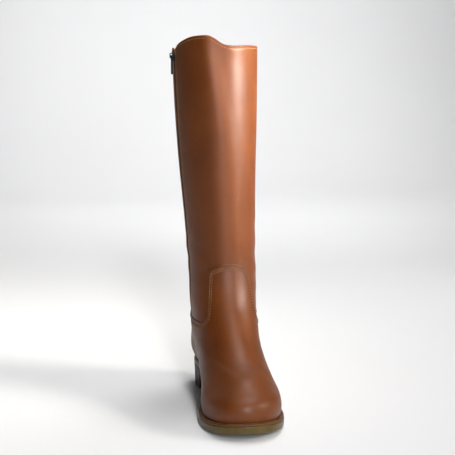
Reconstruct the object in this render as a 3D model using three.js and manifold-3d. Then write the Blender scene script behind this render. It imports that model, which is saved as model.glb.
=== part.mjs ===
// Knee-high riding boot for the left foot, in millimetres.
// X runs to the outer side of the foot, the toe points along -Y and Z is up.
// The origin lies on the floor below the middle of the heel.
import * as THREE from 'three';
import { mergeVertices } from 'three/addons/utils/BufferGeometryUtils.js';
import Module from 'manifold-3d';

const wasm = await Module();
wasm.setup();

// Driving dimensions of the foot
const FOOT_LENGTH = 264;
const BALL_WIDTH = 88;
const HEEL_BACK = 34;
const SEAT_HEIGHT = 36;
const FOREPART_HEIGHT = 11;
const TOE_SPRING = 8.8;

// Driving dimensions of the leg: lean is sideways, centre is forward of the origin
const ANKLE_HEIGHT = 168;
const ANKLE_WIDTH = 84.5;
const ANKLE_DEPTH = 107.5;
const ANKLE_CENTRE = 23.3;
const ANKLE_LEAN = 2;
const BOOT_HEIGHT = 440;
const CALF_WIDTH = 103.4;
const CALF_DEPTH = 133;
const CALF_CENTRE = 17.5;
const CALF_LEAN = -6.5;
const COLLAR_WAVE = 13;

// Leather and sole thicknesses
const UPPER_WALL = 2.4;
const OVERLAY_WALL = 1.2;
const SHAFT_WALL = 2.2;
const INSOLE_THICKNESS = 2.7;
const WELT_THICKNESS = 1.8;
const WELT_REACH = 4.5;
const HEEL_REACH = 1.5;
const WELT_INNER_REACH = 7;
const WAIST_THICKNESS = 5;
const HEEL_LIFT = 6;
const HEEL_BREAST = 30;
const HEEL_TAPER = 1;
const HEEL_SLANT = 6;
const SOLE_BEVEL = 1.2;

// Zip sizes
const ZIP_FORWARD = 27;
const ZIP_END_HEIGHT = 60;
const ZIP_OPENING = 6.5;
const ZIP_TAPE_WIDTH = 25;
const ZIP_TAPE_THICKNESS = 0.8;
const ZIP_TAPE_END = 10;
const TEETH_WIDTH = 4.8;
const TEETH_ROOT = 0.8;
const TEETH_PITCH = 4.4;
const TEETH_LAND = 0.6;
const SLIDER_LENGTH = 13;
const SLIDER_WIDTH = 8.6;
const SLIDER_THICKNESS = 1.6;
const SLIDER_DROP = 6;
const BAIL_LENGTH = 8;
const BAIL_HEIGHT = 3.7;
const BAIL_WIDTH = 1.7;
const BAIL_WIRE = 1.1;
const PULL_LENGTH = 23;
const PULL_WIDTH = 5.4;
const PULL_THICKNESS = 1.2;
const PULL_EYE_WIDTH = 3.4;
const PULL_EYE_LENGTH = 5.6;
const PULL_PIN_RADIUS = 0.65;

// Clearances: between pieces that touch, and around the zip's moving pin
const GAP = 0.3;
const PIN_GAP = 0.55;

// Mesh density
const COLUMNS = 42;
const SEAM_STEP = 6;
const SEAM_BEND = { start: 30, end: 60, step: 2.5 };
const SOLE_STATIONS = COLUMNS / 2;
const SOLE_ACROSS = 4;

const TOE_REACH = FOOT_LENGTH - HEEL_BACK;
const OVERLAY_STEP = OVERLAY_WALL + GAP;
const SHAFT_OUTER = -OVERLAY_STEP;
const SHAFT_INNER = SHAFT_OUTER - SHAFT_WALL;

// Footprint: half widths as shares of the ball width, from the toe back to the heel
const FOOTPRINT_STEP = 20;
const FOOTPRINT = [
  { outer: -0.035, inner: 0.035 },
  { outer: 0.215, inner: 0.285 },
  { outer: 0.395, inner: 0.445 },
  { outer: 0.49, inner: 0.51 },
  { outer: 0.49, inner: 0.43 },
  { outer: 0.405, inner: 0.325 },
  { outer: 0.335, inner: 0.31 },
  { outer: 0.325, inner: 0.33 },
  { outer: 0.2, inner: 0.205 },
  { outer: 0, inner: 0 },
];

// Sections of the foot from the feather edge up to the ankle.
// back is a share of the heel's reach, front of the toe's reach, both rises of the ankle's height,
// width of the ball width; seat scales the footprint at the heel, egg narrows the front,
// full below 1 squares the loop, print mixes in the footprint and follow lifts the loop with the sole.
const FOOT_ROWS = [
  { back: 1, front: 1, backRise: 0, frontRise: 0,
    width: 1, seat: 1, egg: 0, full: 1, print: 1, follow: 1 },
  { back: 1.085, front: 1.006, backRise: 0.071, frontRise: 0.065,
    width: 1.045, seat: 1.155, egg: 0, full: 1, print: 1, follow: 1 },
  { back: 1.13, front: 0.987, backRise: 0.143, frontRise: 0.131,
    width: 1.03, seat: 1.19, egg: 0.02, full: 0.98, print: 0.9, follow: 1 },
  { back: 1.115, front: 0.93, backRise: 0.214, frontRise: 0.185,
    width: 0.99, seat: 1.19, egg: 0.08, full: 0.87, print: 0.52, follow: 1 },
  { back: 1.07, front: 0.848, backRise: 0.494, frontRise: 0.333,
    width: 0.886, seat: 1.2, egg: 0.235, full: 1, print: 0.12, follow: 0 },
  { back: 1.03, front: 0.748, backRise: 0.548, frontRise: 0.375,
    width: 0.884, seat: 1.2, egg: 0.225, full: 0.97, print: 0.02, follow: 0 },
  { back: 0.97, front: 0.648, backRise: 0.601, frontRise: 0.435,
    width: 0.892, seat: 1.2, egg: 0.21, full: 0.96, print: 0, follow: 0 },
  { back: 0.91, front: 0.552, backRise: 0.655, frontRise: 0.518,
    width: 0.917, seat: 1.2, egg: 0.18, full: 0.97, print: 0, follow: 0 },
  { back: 0.88, front: 0.465, backRise: 0.714, frontRise: 0.619,
    width: 0.945, seat: 1.2, egg: 0.14, full: 0.98, print: 0, follow: 0 },
  { back: 0.868, front: 0.4, backRise: 0.78, frontRise: 0.732,
    width: 0.968, seat: 1.2, egg: 0.1, full: 0.99, print: 0, follow: 0 },
  { back: 0.868, front: 0.359, backRise: 0.869, frontRise: 0.863,
    width: 0.982, seat: 1.2, egg: 0.06, full: 1, print: 0, follow: 0 },
];

// Sections of the leg: climb from the ankle to the collar, swell and lean from ankle to calf
const SHAFT_ROWS = [
  { climb: 0, swell: 0, lean: 0.18 },
  { climb: 0.11, swell: 0.08, lean: 0.29 },
  { climb: 0.26, swell: 0.27, lean: 0.49 },
  { climb: 0.44, swell: 0.54, lean: 0.725 },
  { climb: 0.63, swell: 0.8, lean: 0.86 },
  { climb: 0.82, swell: 0.97, lean: 0.97 },
  { climb: 1, swell: 1.02, lean: 1.02 },
];
const SHAFT_EGG = 0.03;
const LEAN_START_ROW = 4;

// Collar: how far the edge lies below the highest point, as a share of the wave, around the leg
const COLLAR = [
  { angle: 0, drop: 0.78 },
  { angle: 6, drop: 0.87 },
  { angle: 14, drop: 0.92 },
  { angle: 24, drop: 0.9 },
  { angle: 38, drop: 0.85 },
  { angle: 55, drop: 0.82 },
  { angle: 90, drop: 0.84 },
  { angle: 135, drop: 0.92 },
  { angle: 180, drop: 1 },
  { angle: 225, drop: 1 },
  { angle: 260, drop: 0.95 },
  { angle: 268, drop: 0.98 },
  { angle: 273, drop: 1.1 },
  { angle: 278, drop: 1.25 },
  { angle: 283, drop: 1.08 },
  { angle: 288, drop: 0.76 },
  { angle: 294, drop: 0.55 },
  { angle: 300, drop: 0.4 },
  { angle: 309, drop: 0.2 },
  { angle: 318, drop: 0.06 },
  { angle: 330, drop: 0 },
  { angle: 340, drop: 0.03 },
  { angle: 348, drop: 0.3 },
  { angle: 354, drop: 0.58 },
];

// Seam where vamp and counter lie over the leg: height as a share of the ankle's height
const SEAM = [
  { angle: 0, outer: 1.006, inner: 1.006 },
  { angle: 10, outer: 1.002, inner: 1 },
  { angle: 23, outer: 0.984, inner: 0.981 },
  { angle: 33, outer: 0.956, inner: 0.957 },
  { angle: 39, outer: 0.91, inner: 0.918 },
  { angle: 43, outer: 0.85, inner: 0.862 },
  { angle: 45.3, outer: 0.81, inner: 0.8 },
  { angle: 46.6, outer: 0.787, inner: 0.745 },
  { angle: 48.2, outer: 0.76, inner: 0.685 },
  { angle: 51.5, outer: 0.712, inner: 0.637 },
  { angle: 57, outer: 0.658, inner: 0.608 },
  { angle: 64, outer: 0.62, inner: 0.589 },
  { angle: 75, outer: 0.593, inner: 0.58 },
  { angle: 100, outer: 0.583, inner: 0.577 },
  { angle: 140, outer: 0.605, inner: 0.603 },
  { angle: 180, outer: 0.63, inner: 0.63 },
];

// Lower edge of the leg's leather where it is tucked inside vamp and counter, same share
const TUCK = [
  { angle: 0, height: 0.74 },
  { angle: 30, height: 0.68 },
  { angle: 50, height: 0.56 },
  { angle: 70, height: 0.49 },
  { angle: 110, height: 0.5 },
  { angle: 180, height: 0.54 },
];

// Cubic curve through a table of stations
function smooth(stations, values, at) {
  const last = stations.length - 1;
  let i = 0;
  while (i < last - 1 && at >= stations[i + 1]) i += 1;
  const slope = (k) => (values[k + 1] - values[k]) / (stations[k + 1] - stations[k]);
  const tangent = (k) => {
    if (k === 0) return slope(0);
    if (k === last) return slope(last - 1);
    const before = stations[k] - stations[k - 1];
    const after = stations[k + 1] - stations[k];
    return (slope(k - 1) * before + slope(k) * after) / (before + after);
  };
  const span = stations[i + 1] - stations[i];
  const t = (at - stations[i]) / span;
  const t2 = t * t;
  const t3 = t2 * t;
  return (2 * t3 - 3 * t2 + 1) * values[i] + (t3 - 2 * t2 + t) * span * tangent(i)
    + (3 * t2 - 2 * t3) * values[i + 1] + (t3 - t2) * span * tangent(i + 1);
}

// The same around a full turn: the table is repeated before and after the turn
function smoothTurn(stations, values, angle) {
  const at = ((angle % 360) + 360) % 360;
  const around = [];
  const repeated = [];
  for (const turn of [-360, 0, 360]) {
    for (let i = 0; i < stations.length; i += 1) {
      around.push(stations[i] + turn);
      repeated.push(values[i]);
    }
  }
  return smooth(around, repeated, at);
}

function easeStep(t) {
  const c = Math.min(1, Math.max(0, t));
  return c * c * (3 - 2 * c);
}

function blend(from, to, t) {
  return from + (to - from) * t;
}

// Height of the feather edge above the floor, at a distance forward of the origin
const SEAT_END = 0.057 * FOOT_LENGTH;
const FOREPART_START = 0.455 * FOOT_LENGTH;
const SPRING_START = 0.568 * FOOT_LENGTH;
function featherHeight(forward) {
  const drop = easeStep((forward - SEAT_END) / (FOREPART_START - SEAT_END));
  const tip = Math.max(0, (forward - SPRING_START) / (TOE_REACH - SPRING_START));
  return blend(SEAT_HEIGHT, FOREPART_HEIGHT, drop) + TOE_SPRING * tip * tip;
}

// Table of all sections, with one column of values for each property
function legRow({ climb, swell, lean }) {
  const depth = blend(ANKLE_DEPTH, CALF_DEPTH, swell) + 2 * OVERLAY_STEP;
  const centre = blend(ANKLE_CENTRE, CALF_CENTRE, swell);
  const height = blend(ANKLE_HEIGHT, BOOT_HEIGHT, climb);
  return {
    back: centre - depth / 2,
    front: centre + depth / 2,
    backRise: height,
    frontRise: height,
    half: blend(ANKLE_WIDTH, CALF_WIDTH, swell) / 2 + OVERLAY_STEP,
    seat: BALL_WIDTH / 2,
    egg: SHAFT_EGG * (1 - swell),
    full: 1,
    print: 0,
    follow: 0,
    lean: blend(ANKLE_LEAN, CALF_LEAN, lean),
  };
}

function footRow(row, index) {
  const leaning = Math.max(0, index - LEAN_START_ROW) / (FOOT_ROWS.length - LEAN_START_ROW);
  return {
    back: -HEEL_BACK * row.back,
    front: TOE_REACH * row.front,
    backRise: ANKLE_HEIGHT * row.backRise,
    frontRise: ANKLE_HEIGHT * row.frontRise,
    half: (BALL_WIDTH / 2) * row.width,
    seat: (BALL_WIDTH / 2) * row.seat,
    egg: row.egg,
    full: row.full,
    print: row.print,
    follow: row.follow,
    lean: ANKLE_LEAN * leaning,
  };
}

const ROWS = [...FOOT_ROWS.map(footRow), ...SHAFT_ROWS.map(legRow)];
const ROW_NUMBERS = ROWS.map((row, index) => index);
const COLUMN = {};
for (const key of Object.keys(ROWS[0])) COLUMN[key] = ROWS.map((row) => row[key]);
const TOP_ROW = ROWS.length - 1;
const ANKLE_ROW = FOOT_ROWS.length;

const PRINT_ANGLES = [];
const PRINT_VALUES = [];
for (let i = 0; i < FOOTPRINT.length - 1; i += 1) {
  PRINT_ANGLES.push(i * FOOTPRINT_STEP);
  PRINT_VALUES.push(FOOTPRINT[i].outer);
}
for (let i = FOOTPRINT.length - 1; i > 0; i -= 1) {
  PRINT_ANGLES.push(360 - i * FOOTPRINT_STEP);
  PRINT_VALUES.push(-FOOTPRINT[i].inner);
}

const COLLAR_ANGLES = COLLAR.map((row) => row.angle);
const COLLAR_DROPS = COLLAR.map((row) => -row.drop * COLLAR_WAVE);

// Shares of the length over which the heel's width gives way to the ball's
const SEAT_SHARE = 0.22;
const WAIST_SHARE = 0.33;

function rowValue(key, row) {
  return smooth(ROW_NUMBERS, COLUMN[key], row);
}

// A point of the boot's outside: angle 0 is the toe, 90 the outer side, 180 the back
function skin(angle, row) {
  const turn = THREE.MathUtils.degToRad(angle);
  const along = (1 + Math.cos(turn)) / 2;
  const half = rowValue('half', row);
  const round = Math.abs(Math.sin(turn)) ** rowValue('full', row);
  const oval = Math.sign(Math.sin(turn)) * round * half * (1 - rowValue('egg', row) * Math.cos(turn));
  const printHalf = blend(rowValue('seat', row), half, easeStep((along - SEAT_SHARE) / WAIST_SHARE));
  const print = 2 * printHalf * smoothTurn(PRINT_ANGLES, PRINT_VALUES, angle);
  const forward = blend(rowValue('back', row), rowValue('front', row), along);
  const rise = blend(rowValue('backRise', row), rowValue('frontRise', row), along);
  const wave = Math.max(0, row - TOP_ROW + 1) * smoothTurn(COLLAR_ANGLES, COLLAR_DROPS, angle);
  return new THREE.Vector3(
    blend(oval, print, rowValue('print', row)) + rowValue('lean', row),
    -forward,
    rowValue('follow', row) * featherHeight(forward) + rise + wave,
  );
}

// Outward direction of the skin, level at the feather edge so that the wall stands square on the welt
const PROBE = 0.01;
function skinNormal(angle, row) {
  const low = Math.max(0, row - PROBE);
  const high = Math.min(TOP_ROW, row + PROBE);
  const around = skin(angle + PROBE, row).sub(skin(angle - PROBE, row));
  const up = skin(angle, high).sub(skin(angle, low));
  const normal = around.cross(up).normalize();
  normal.z *= Math.min(1, row);
  return normal.normalize();
}

function wallPoint(angle, row, offset) {
  return skin(angle, row).addScaledVector(skinNormal(angle, row), offset);
}

// The row at which the skin reaches a height, at one angle
function rowAtHeight(angle, height) {
  let low = 0;
  let high = TOP_ROW;
  for (let i = 0; i < 30; i += 1) {
    const middle = (low + high) / 2;
    if (skin(angle, middle).z < height) low = middle;
    else high = middle;
  }
  return (low + high) / 2;
}

// A footprint point moved square to the outline, on the floor's plane. The reach is the welt's around
// the forepart and smaller at the heel, where the sole is trimmed close; inset is the same all round.
function solePoint(angle, share, inset) {
  const forward = -skin(angle, 0).y;
  const open = easeStep((forward - HEEL_BREAST) / (FOREPART_START - HEEL_BREAST));
  return wallPoint(angle, 0, share * blend(HEEL_REACH, WELT_REACH, open) - inset).setZ(0);
}

// Closed bodies from rings of points, each ring a closed section
function bodyFromRings(rings, closed) {
  const positions = [];
  const quad = (a, b, c, d) => {
    for (const p of [a, b, c, a, c, d]) positions.push(p.x, p.y, p.z);
  };
  const count = rings[0].length;
  const pairs = closed ? rings.length : rings.length - 1;
  for (let i = 0; i < pairs; i += 1) {
    const here = rings[i];
    const next = rings[(i + 1) % rings.length];
    for (let j = 0; j < count; j += 1) {
      const k = (j + 1) % count;
      quad(here[j], here[k], next[k], next[j]);
    }
  }
  if (!closed) {
    const cap = (ring, forward) => {
      const middle = new THREE.Vector3();
      for (const p of ring) middle.addScaledVector(p, 1 / count);
      for (let j = 0; j < count; j += 1) {
        const a = ring[j];
        const b = ring[(j + 1) % count];
        for (const p of forward ? [a, b, middle] : [b, a, middle]) positions.push(p.x, p.y, p.z);
      }
    };
    cap(rings[0], false);
    cap(rings[rings.length - 1], true);
  }
  return weld(positions);
}

// One shared vertex for each place, without empty triangles, and facing out
function weld(positions) {
  const loose = new THREE.BufferGeometry();
  loose.setAttribute('position', new THREE.Float32BufferAttribute(positions, 3));
  const merged = mergeVertices(loose, 1e-4);
  const index = merged.index.array;
  const at = merged.attributes.position;
  const kept = [];
  let volume = 0;
  const a = new THREE.Vector3();
  const b = new THREE.Vector3();
  const c = new THREE.Vector3();
  for (let i = 0; i < index.length; i += 3) {
    const [p, q, r] = [index[i], index[i + 1], index[i + 2]];
    if (p === q || q === r || p === r) continue;
    a.fromBufferAttribute(at, p);
    b.fromBufferAttribute(at, q);
    c.fromBufferAttribute(at, r);
    volume += a.dot(b.cross(c)) / 6;
    kept.push(p, q, r);
  }
  if (volume < 0) {
    for (let i = 0; i < kept.length; i += 3) [kept[i], kept[i + 1]] = [kept[i + 1], kept[i]];
  }
  merged.setIndex(kept);
  return merged;
}

// Joins and cuts
function toManifold(geometry) {
  const source = geometry.clone();
  source.deleteAttribute('normal');
  source.deleteAttribute('uv');
  const merged = mergeVertices(source, 1e-4);
  return new wasm.Manifold(new wasm.Mesh({
    numProp: 3,
    vertProperties: new Float32Array(merged.attributes.position.array),
    triVerts: new Uint32Array(merged.index.array),
  }));
}

function fromManifold(solid) {
  const mesh = solid.getMesh();
  const geometry = new THREE.BufferGeometry();
  const at = new Float32Array((mesh.vertProperties.length / mesh.numProp) * 3);
  for (let i = 0; i < at.length / 3; i += 1) {
    for (let k = 0; k < 3; k += 1) at[3 * i + k] = mesh.vertProperties[mesh.numProp * i + k];
  }
  geometry.setAttribute('position', new THREE.BufferAttribute(at, 3));
  geometry.setIndex(new THREE.BufferAttribute(new Uint32Array(mesh.triVerts), 1));
  return geometry;
}

function cut(geometry, ...tools) {
  let solid = toManifold(geometry);
  for (const tool of tools) solid = solid.subtract(toManifold(tool));
  return fromManifold(solid);
}

function join(...pieces) {
  let solid = toManifold(pieces[0]);
  for (const piece of pieces.slice(1)) solid = solid.add(toManifold(piece));
  return fromManifold(solid);
}

// A wall around the whole boot between two offsets; each angle gives its own list of rows
function shell(angles, rowsAt, outer, inner) {
  const rings = angles.map((angle) => {
    const rows = rowsAt(angle);
    const outside = rows.map((row) => wallPoint(angle, row, outer));
    const inside = rows.map((row) => wallPoint(angle, row, inner));
    return [...outside, ...inside.reverse()];
  });
  return bodyFromRings(rings, true);
}

function rowsBetween(low, high, steps) {
  return Array.from({ length: steps + 1 }, (unused, i) => blend(low, high, i / steps));
}

function turnAngles(count) {
  return Array.from({ length: count }, (unused, i) => (360 * i) / count);
}

// Angles around the boot, close together where the seam turns down beside the tongue
function seamAngles() {
  const angles = [];
  let angle = 0;
  while (angle < 360) {
    angles.push(angle);
    const side = Math.min(angle, 360 - angle);
    const bends = side >= SEAM_BEND.start && side < SEAM_BEND.end;
    angle += bends ? SEAM_BEND.step : SEAM_STEP;
  }
  return angles;
}

function seamHeight(angle) {
  const signed = angle > 180 ? angle - 360 : angle;
  const side = signed < 0 ? 'inner' : 'outer';
  const share = smooth(SEAM.map((row) => row.angle), SEAM.map((row) => row[side]), Math.abs(signed));
  return share * ANKLE_HEIGHT;
}

function tuckHeight(angle) {
  const signed = angle > 180 ? angle - 360 : angle;
  const share = smooth(TUCK.map((row) => row.angle), TUCK.map((row) => row.height), Math.abs(signed));
  return share * ANKLE_HEIGHT;
}

// The zip's line on the inner side: constant distance forward, so its angle changes from row to row
function zipAngle(row, forward) {
  const back = rowValue('back', row);
  const along = (forward - back) / (rowValue('front', row) - back);
  return -THREE.MathUtils.radToDeg(Math.acos(2 * along - 1));
}

function zipRowAtHeight(height) {
  let low = 0;
  let high = TOP_ROW;
  for (let i = 0; i < 30; i += 1) {
    const middle = (low + high) / 2;
    if (skin(zipAngle(middle, ZIP_FORWARD), middle).z < height) low = middle;
    else high = middle;
  }
  return (low + high) / 2;
}

// A strip along the zip's line, with its rings closer together near the heel
const ACROSS_ZIP = [-0.5, -0.18, 0.18, 0.5];
const ZIP_GRADING = 1.6;
function zipStrip(lowHeight, highHeight, steps, width, outer, inner) {
  const rings = [];
  for (let i = 0; i <= steps; i += 1) {
    const row = zipRowAtHeight(blend(lowHeight, highHeight, (i / steps) ** ZIP_GRADING));
    const ring = [];
    for (const share of ACROSS_ZIP) {
      ring.push(wallPoint(zipAngle(row, ZIP_FORWARD + share * width), row, outer));
    }
    for (const share of ACROSS_ZIP) {
      ring.push(wallPoint(zipAngle(row, ZIP_FORWARD - share * width), row, inner));
    }
    rings.push(ring);
  }
  return bodyFromRings(rings, false);
}

const COLLAR_HEIGHT_AT_ZIP = skin(zipAngle(TOP_ROW, ZIP_FORWARD), TOP_ROW).z;
const CUTTER_REACH = 8;

function zipSlot() {
  const above = zipStrip(ZIP_END_HEIGHT, COLLAR_HEIGHT_AT_ZIP, 40, ZIP_OPENING, CUTTER_REACH, -CUTTER_REACH);
  const top = new THREE.BoxGeometry(4 * CUTTER_REACH, ZIP_OPENING, 2 * CUTTER_REACH);
  const middle = wallPoint(zipAngle(TOP_ROW, ZIP_FORWARD), TOP_ROW, SHAFT_OUTER);
  top.translate(middle.x, middle.y, middle.z + 0.6 * CUTTER_REACH);
  return join(above, top);
}

// Vamp, tongue-shaped front and counter in one wall, thinned on the inside where the leg is tucked in
const UPPER_TOP_ROW = ANKLE_ROW + 1;
const TUCK_STEPS = 6;
const LEG_STEPS = 8;

function tuckRow(angle) {
  return rowAtHeight(angle, tuckHeight(angle));
}

function upperGeometry(slot) {
  const angles = turnAngles(COLUMNS);
  const foot = [...rowsBetween(0, 3, 4), ...rowsBetween(3, 4, 3).slice(1)];
  const instep = rowsBetween(4, UPPER_TOP_ROW, UPPER_TOP_ROW - 3).slice(1);
  const wall = shell(angles, () => [...foot, ...instep], 0, -UPPER_WALL);
  const above = shell(
    seamAngles(),
    (angle) => rowsBetween(rowAtHeight(angle, seamHeight(angle)), UPPER_TOP_ROW + 1, TUCK_STEPS),
    CUTTER_REACH,
    -CUTTER_REACH,
  );
  const tucked = shell(
    angles,
    (angle) => [
      rowAtHeight(angle, tuckHeight(angle) - 2 * GAP),
      ...rowsBetween(tuckRow(angle), UPPER_TOP_ROW, TUCK_STEPS),
      UPPER_TOP_ROW + 1,
    ],
    -OVERLAY_WALL,
    -CUTTER_REACH,
  );
  return cut(wall, above, tucked, slot);
}

// The leg of the boot, open at the collar and slit for the zip
function shaftGeometry(slot) {
  const wall = shell(
    turnAngles(COLUMNS),
    (angle) => [
      ...rowsBetween(tuckRow(angle), UPPER_TOP_ROW, TUCK_STEPS),
      ...rowsBetween(UPPER_TOP_ROW, TOP_ROW, LEG_STEPS).slice(1),
    ],
    SHAFT_OUTER,
    SHAFT_INNER,
  );
  return cut(wall, slot);
}

// A slab of the sole: levels are rims from the lowest to the highest, each with its share of the
// welt's reach, its inset, its height at a distance forward and the distance forward where it ends
function slab(levels, stations) {
  const rings = [];
  const rimPoint = (level, station, side) => {
    const endAngle = level.end === undefined ? 0 : soleAngleAt(level.end);
    const angle = blend(180, endAngle, station / stations);
    return solePoint(side * angle, level.reach, level.inset);
  };
  const raised = (level, p) => p.clone().setZ(level.height(-p.y));
  const bottom = levels[0];
  const top = levels[levels.length - 1];
  for (let i = 0; i <= stations; i += 1) {
    const ring = [];
    const across = (level, from, to) => {
      const start = rimPoint(level, i, from);
      const finish = rimPoint(level, i, to);
      for (let j = 0; j <= SOLE_ACROSS; j += 1) {
        ring.push(raised(level, start.clone().lerp(finish, j / SOLE_ACROSS)));
      }
    };
    across(bottom, -1, 1);
    for (const level of levels.slice(1, -1)) ring.push(raised(level, rimPoint(level, i, 1)));
    across(top, 1, -1);
    for (const level of levels.slice(1, -1).reverse()) ring.push(raised(level, rimPoint(level, i, -1)));
    rings.push(ring);
  }
  return bodyFromRings(rings, false);
}

function soleAngleAt(forward) {
  const along = (forward + HEEL_BACK) / FOOT_LENGTH;
  return THREE.MathUtils.radToDeg(Math.acos(2 * along - 1));
}

const weltTop = (forward) => featherHeight(forward) - GAP;
const weltBottom = (forward) => weltTop(forward) - WELT_THICKNESS;
const outsoleTop = (forward) => weltBottom(forward) - GAP;
const FOREPART_THICKNESS = FOREPART_HEIGHT - WELT_THICKNESS - 2 * GAP;
function outsoleBottom(forward) {
  const share = easeStep((forward - SEAT_END) / (FOREPART_START - SEAT_END));
  return outsoleTop(forward) - blend(WAIST_THICKNESS, FOREPART_THICKNESS, share);
}

function outsoleGeometry() {
  return slab([
    { reach: 1, inset: SOLE_BEVEL, height: outsoleBottom },
    { reach: 1, inset: 0, height: (forward) => outsoleBottom(forward) + SOLE_BEVEL },
    { reach: 1, inset: -GAP, height: (forward) => outsoleTop(forward) - SOLE_BEVEL },
    { reach: 1, inset: SOLE_BEVEL / 2, height: outsoleTop },
  ], SOLE_STATIONS);
}

function insoleGeometry() {
  const wide = UPPER_WALL + 1.5 * GAP;
  const narrow = WELT_INNER_REACH + GAP;
  return slab([
    { reach: 0, inset: narrow, height: weltBottom },
    { reach: 0, inset: narrow, height: featherHeight },
    { reach: 0, inset: wide, height: featherHeight },
    { reach: 0, inset: wide, height: (forward) => featherHeight(forward) + INSOLE_THICKNESS },
  ], SOLE_STATIONS);
}

function weltGeometry() {
  const rings = turnAngles(COLUMNS).map((angle) => {
    const corner = (reach, inset, height) => {
      const p = solePoint(angle, reach, inset);
      return p.setZ(height(-p.y));
    };
    return [
      corner(1, 0, weltBottom),
      corner(1, 0, (forward) => weltTop(forward) - WELT_THICKNESS / 3),
      corner(1, WELT_THICKNESS / 4, weltTop),
      corner(0, WELT_INNER_REACH, weltTop),
      corner(0, WELT_INNER_REACH, weltBottom),
    ];
  });
  return bodyFromRings(rings, true);
}

const HEEL_STATIONS = 14;
function heelGeometry() {
  const foot = HEEL_LIFT + GAP;
  const middle = (foot + SEAT_HEIGHT) / 2;
  return slab([
    { reach: 1, inset: HEEL_TAPER, height: () => foot, end: HEEL_BREAST - HEEL_SLANT },
    { reach: 1, inset: HEEL_TAPER / 2, height: () => middle, end: HEEL_BREAST - HEEL_SLANT / 2 },
    { reach: 1, inset: 0, height: (forward) => outsoleBottom(forward) - 1.5 * GAP, end: HEEL_BREAST },
  ], HEEL_STATIONS);
}

function heelLiftGeometry() {
  const end = HEEL_BREAST - HEEL_SLANT;
  return slab([
    { reach: 1, inset: HEEL_TAPER + SOLE_BEVEL / 2, height: () => 0, end },
    { reach: 1, inset: HEEL_TAPER, height: () => SOLE_BEVEL / 2, end },
    { reach: 1, inset: HEEL_TAPER, height: () => HEEL_LIFT, end },
  ], HEEL_STATIONS);
}

// Zip: woven tape behind the slit, and the closed chain of teeth on it
const TAPE_OUTER = SHAFT_INNER - 1.7 * GAP;
const TEETH_INNER = TAPE_OUTER + GAP;
const TEETH_OUTER = SHAFT_OUTER;
const ZIP_TOP = COLLAR_HEIGHT_AT_ZIP - 2;

const ZIP_TAPE_STEPS = 52;
function zipTapeGeometry() {
  return zipStrip(
    ZIP_END_HEIGHT - ZIP_TAPE_END,
    ZIP_TOP,
    ZIP_TAPE_STEPS,
    ZIP_TAPE_WIDTH,
    TAPE_OUTER,
    TAPE_OUTER - ZIP_TAPE_THICKNESS,
  );
}

function zipTeethGeometry() {
  const low = ZIP_END_HEIGHT + 1;
  const high = ZIP_TOP - 1;
  const count = Math.round((high - low) / TEETH_PITCH);
  const pitch = (high - low) / count;
  const rings = [];
  const ringAt = (height, outer) => {
    const row = zipRowAtHeight(height);
    const side = (share) => zipAngle(row, ZIP_FORWARD + share * TEETH_WIDTH);
    return [
      wallPoint(side(-0.5), row, outer),
      wallPoint(side(0.5), row, outer),
      wallPoint(side(0.5), row, TEETH_INNER),
      wallPoint(side(-0.5), row, TEETH_INNER),
    ];
  };
  for (let i = 0; i < count; i += 1) {
    const start = low + i * pitch;
    rings.push(ringAt(start + TEETH_LAND * pitch, TEETH_OUTER));
    rings.push(ringAt(start + pitch, TEETH_OUTER - TEETH_ROOT));
  }
  return bodyFromRings(rings, false);
}

// Frame of the slider on the zip: across the zip, up along it and out of the leather
const SLIDER_ROW = zipRowAtHeight(COLLAR_HEIGHT_AT_ZIP - SLIDER_DROP);
const SLIDER_ANGLE = zipAngle(SLIDER_ROW, ZIP_FORWARD);
const sliderOut = skinNormal(SLIDER_ANGLE, SLIDER_ROW);
const sliderAcross = new THREE.Vector3(0, 0, 1).cross(sliderOut).normalize();
const sliderUp = sliderOut.clone().cross(sliderAcross).normalize();
const sliderSeat = wallPoint(SLIDER_ANGLE, SLIDER_ROW, SHAFT_OUTER + 1.3 * GAP);

// Plate with a rounded outline, standing along Y and extruded along Z
function roundedPlate(width, length, thickness, hole) {
  const r = 0.3 * width;
  const [x, y] = [width / 2, length / 2];
  const shape = new THREE.Shape();
  shape.moveTo(-x + r, -y);
  shape.lineTo(x - r, -y);
  shape.absarc(x - r, -y + r, r, -Math.PI / 2, 0);
  shape.lineTo(x, y - r);
  shape.absarc(x - r, y - r, r, 0, Math.PI / 2);
  shape.lineTo(-x + r, y);
  shape.absarc(-x + r, y - r, r, Math.PI / 2, Math.PI);
  shape.lineTo(-x, -y + r);
  shape.absarc(-x + r, -y + r, r, Math.PI, 1.5 * Math.PI);
  if (hole) shape.holes.push(hole);
  return new THREE.ExtrudeGeometry(shape, { depth: thickness, bevelEnabled: false, curveSegments: 3 });
}

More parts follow.
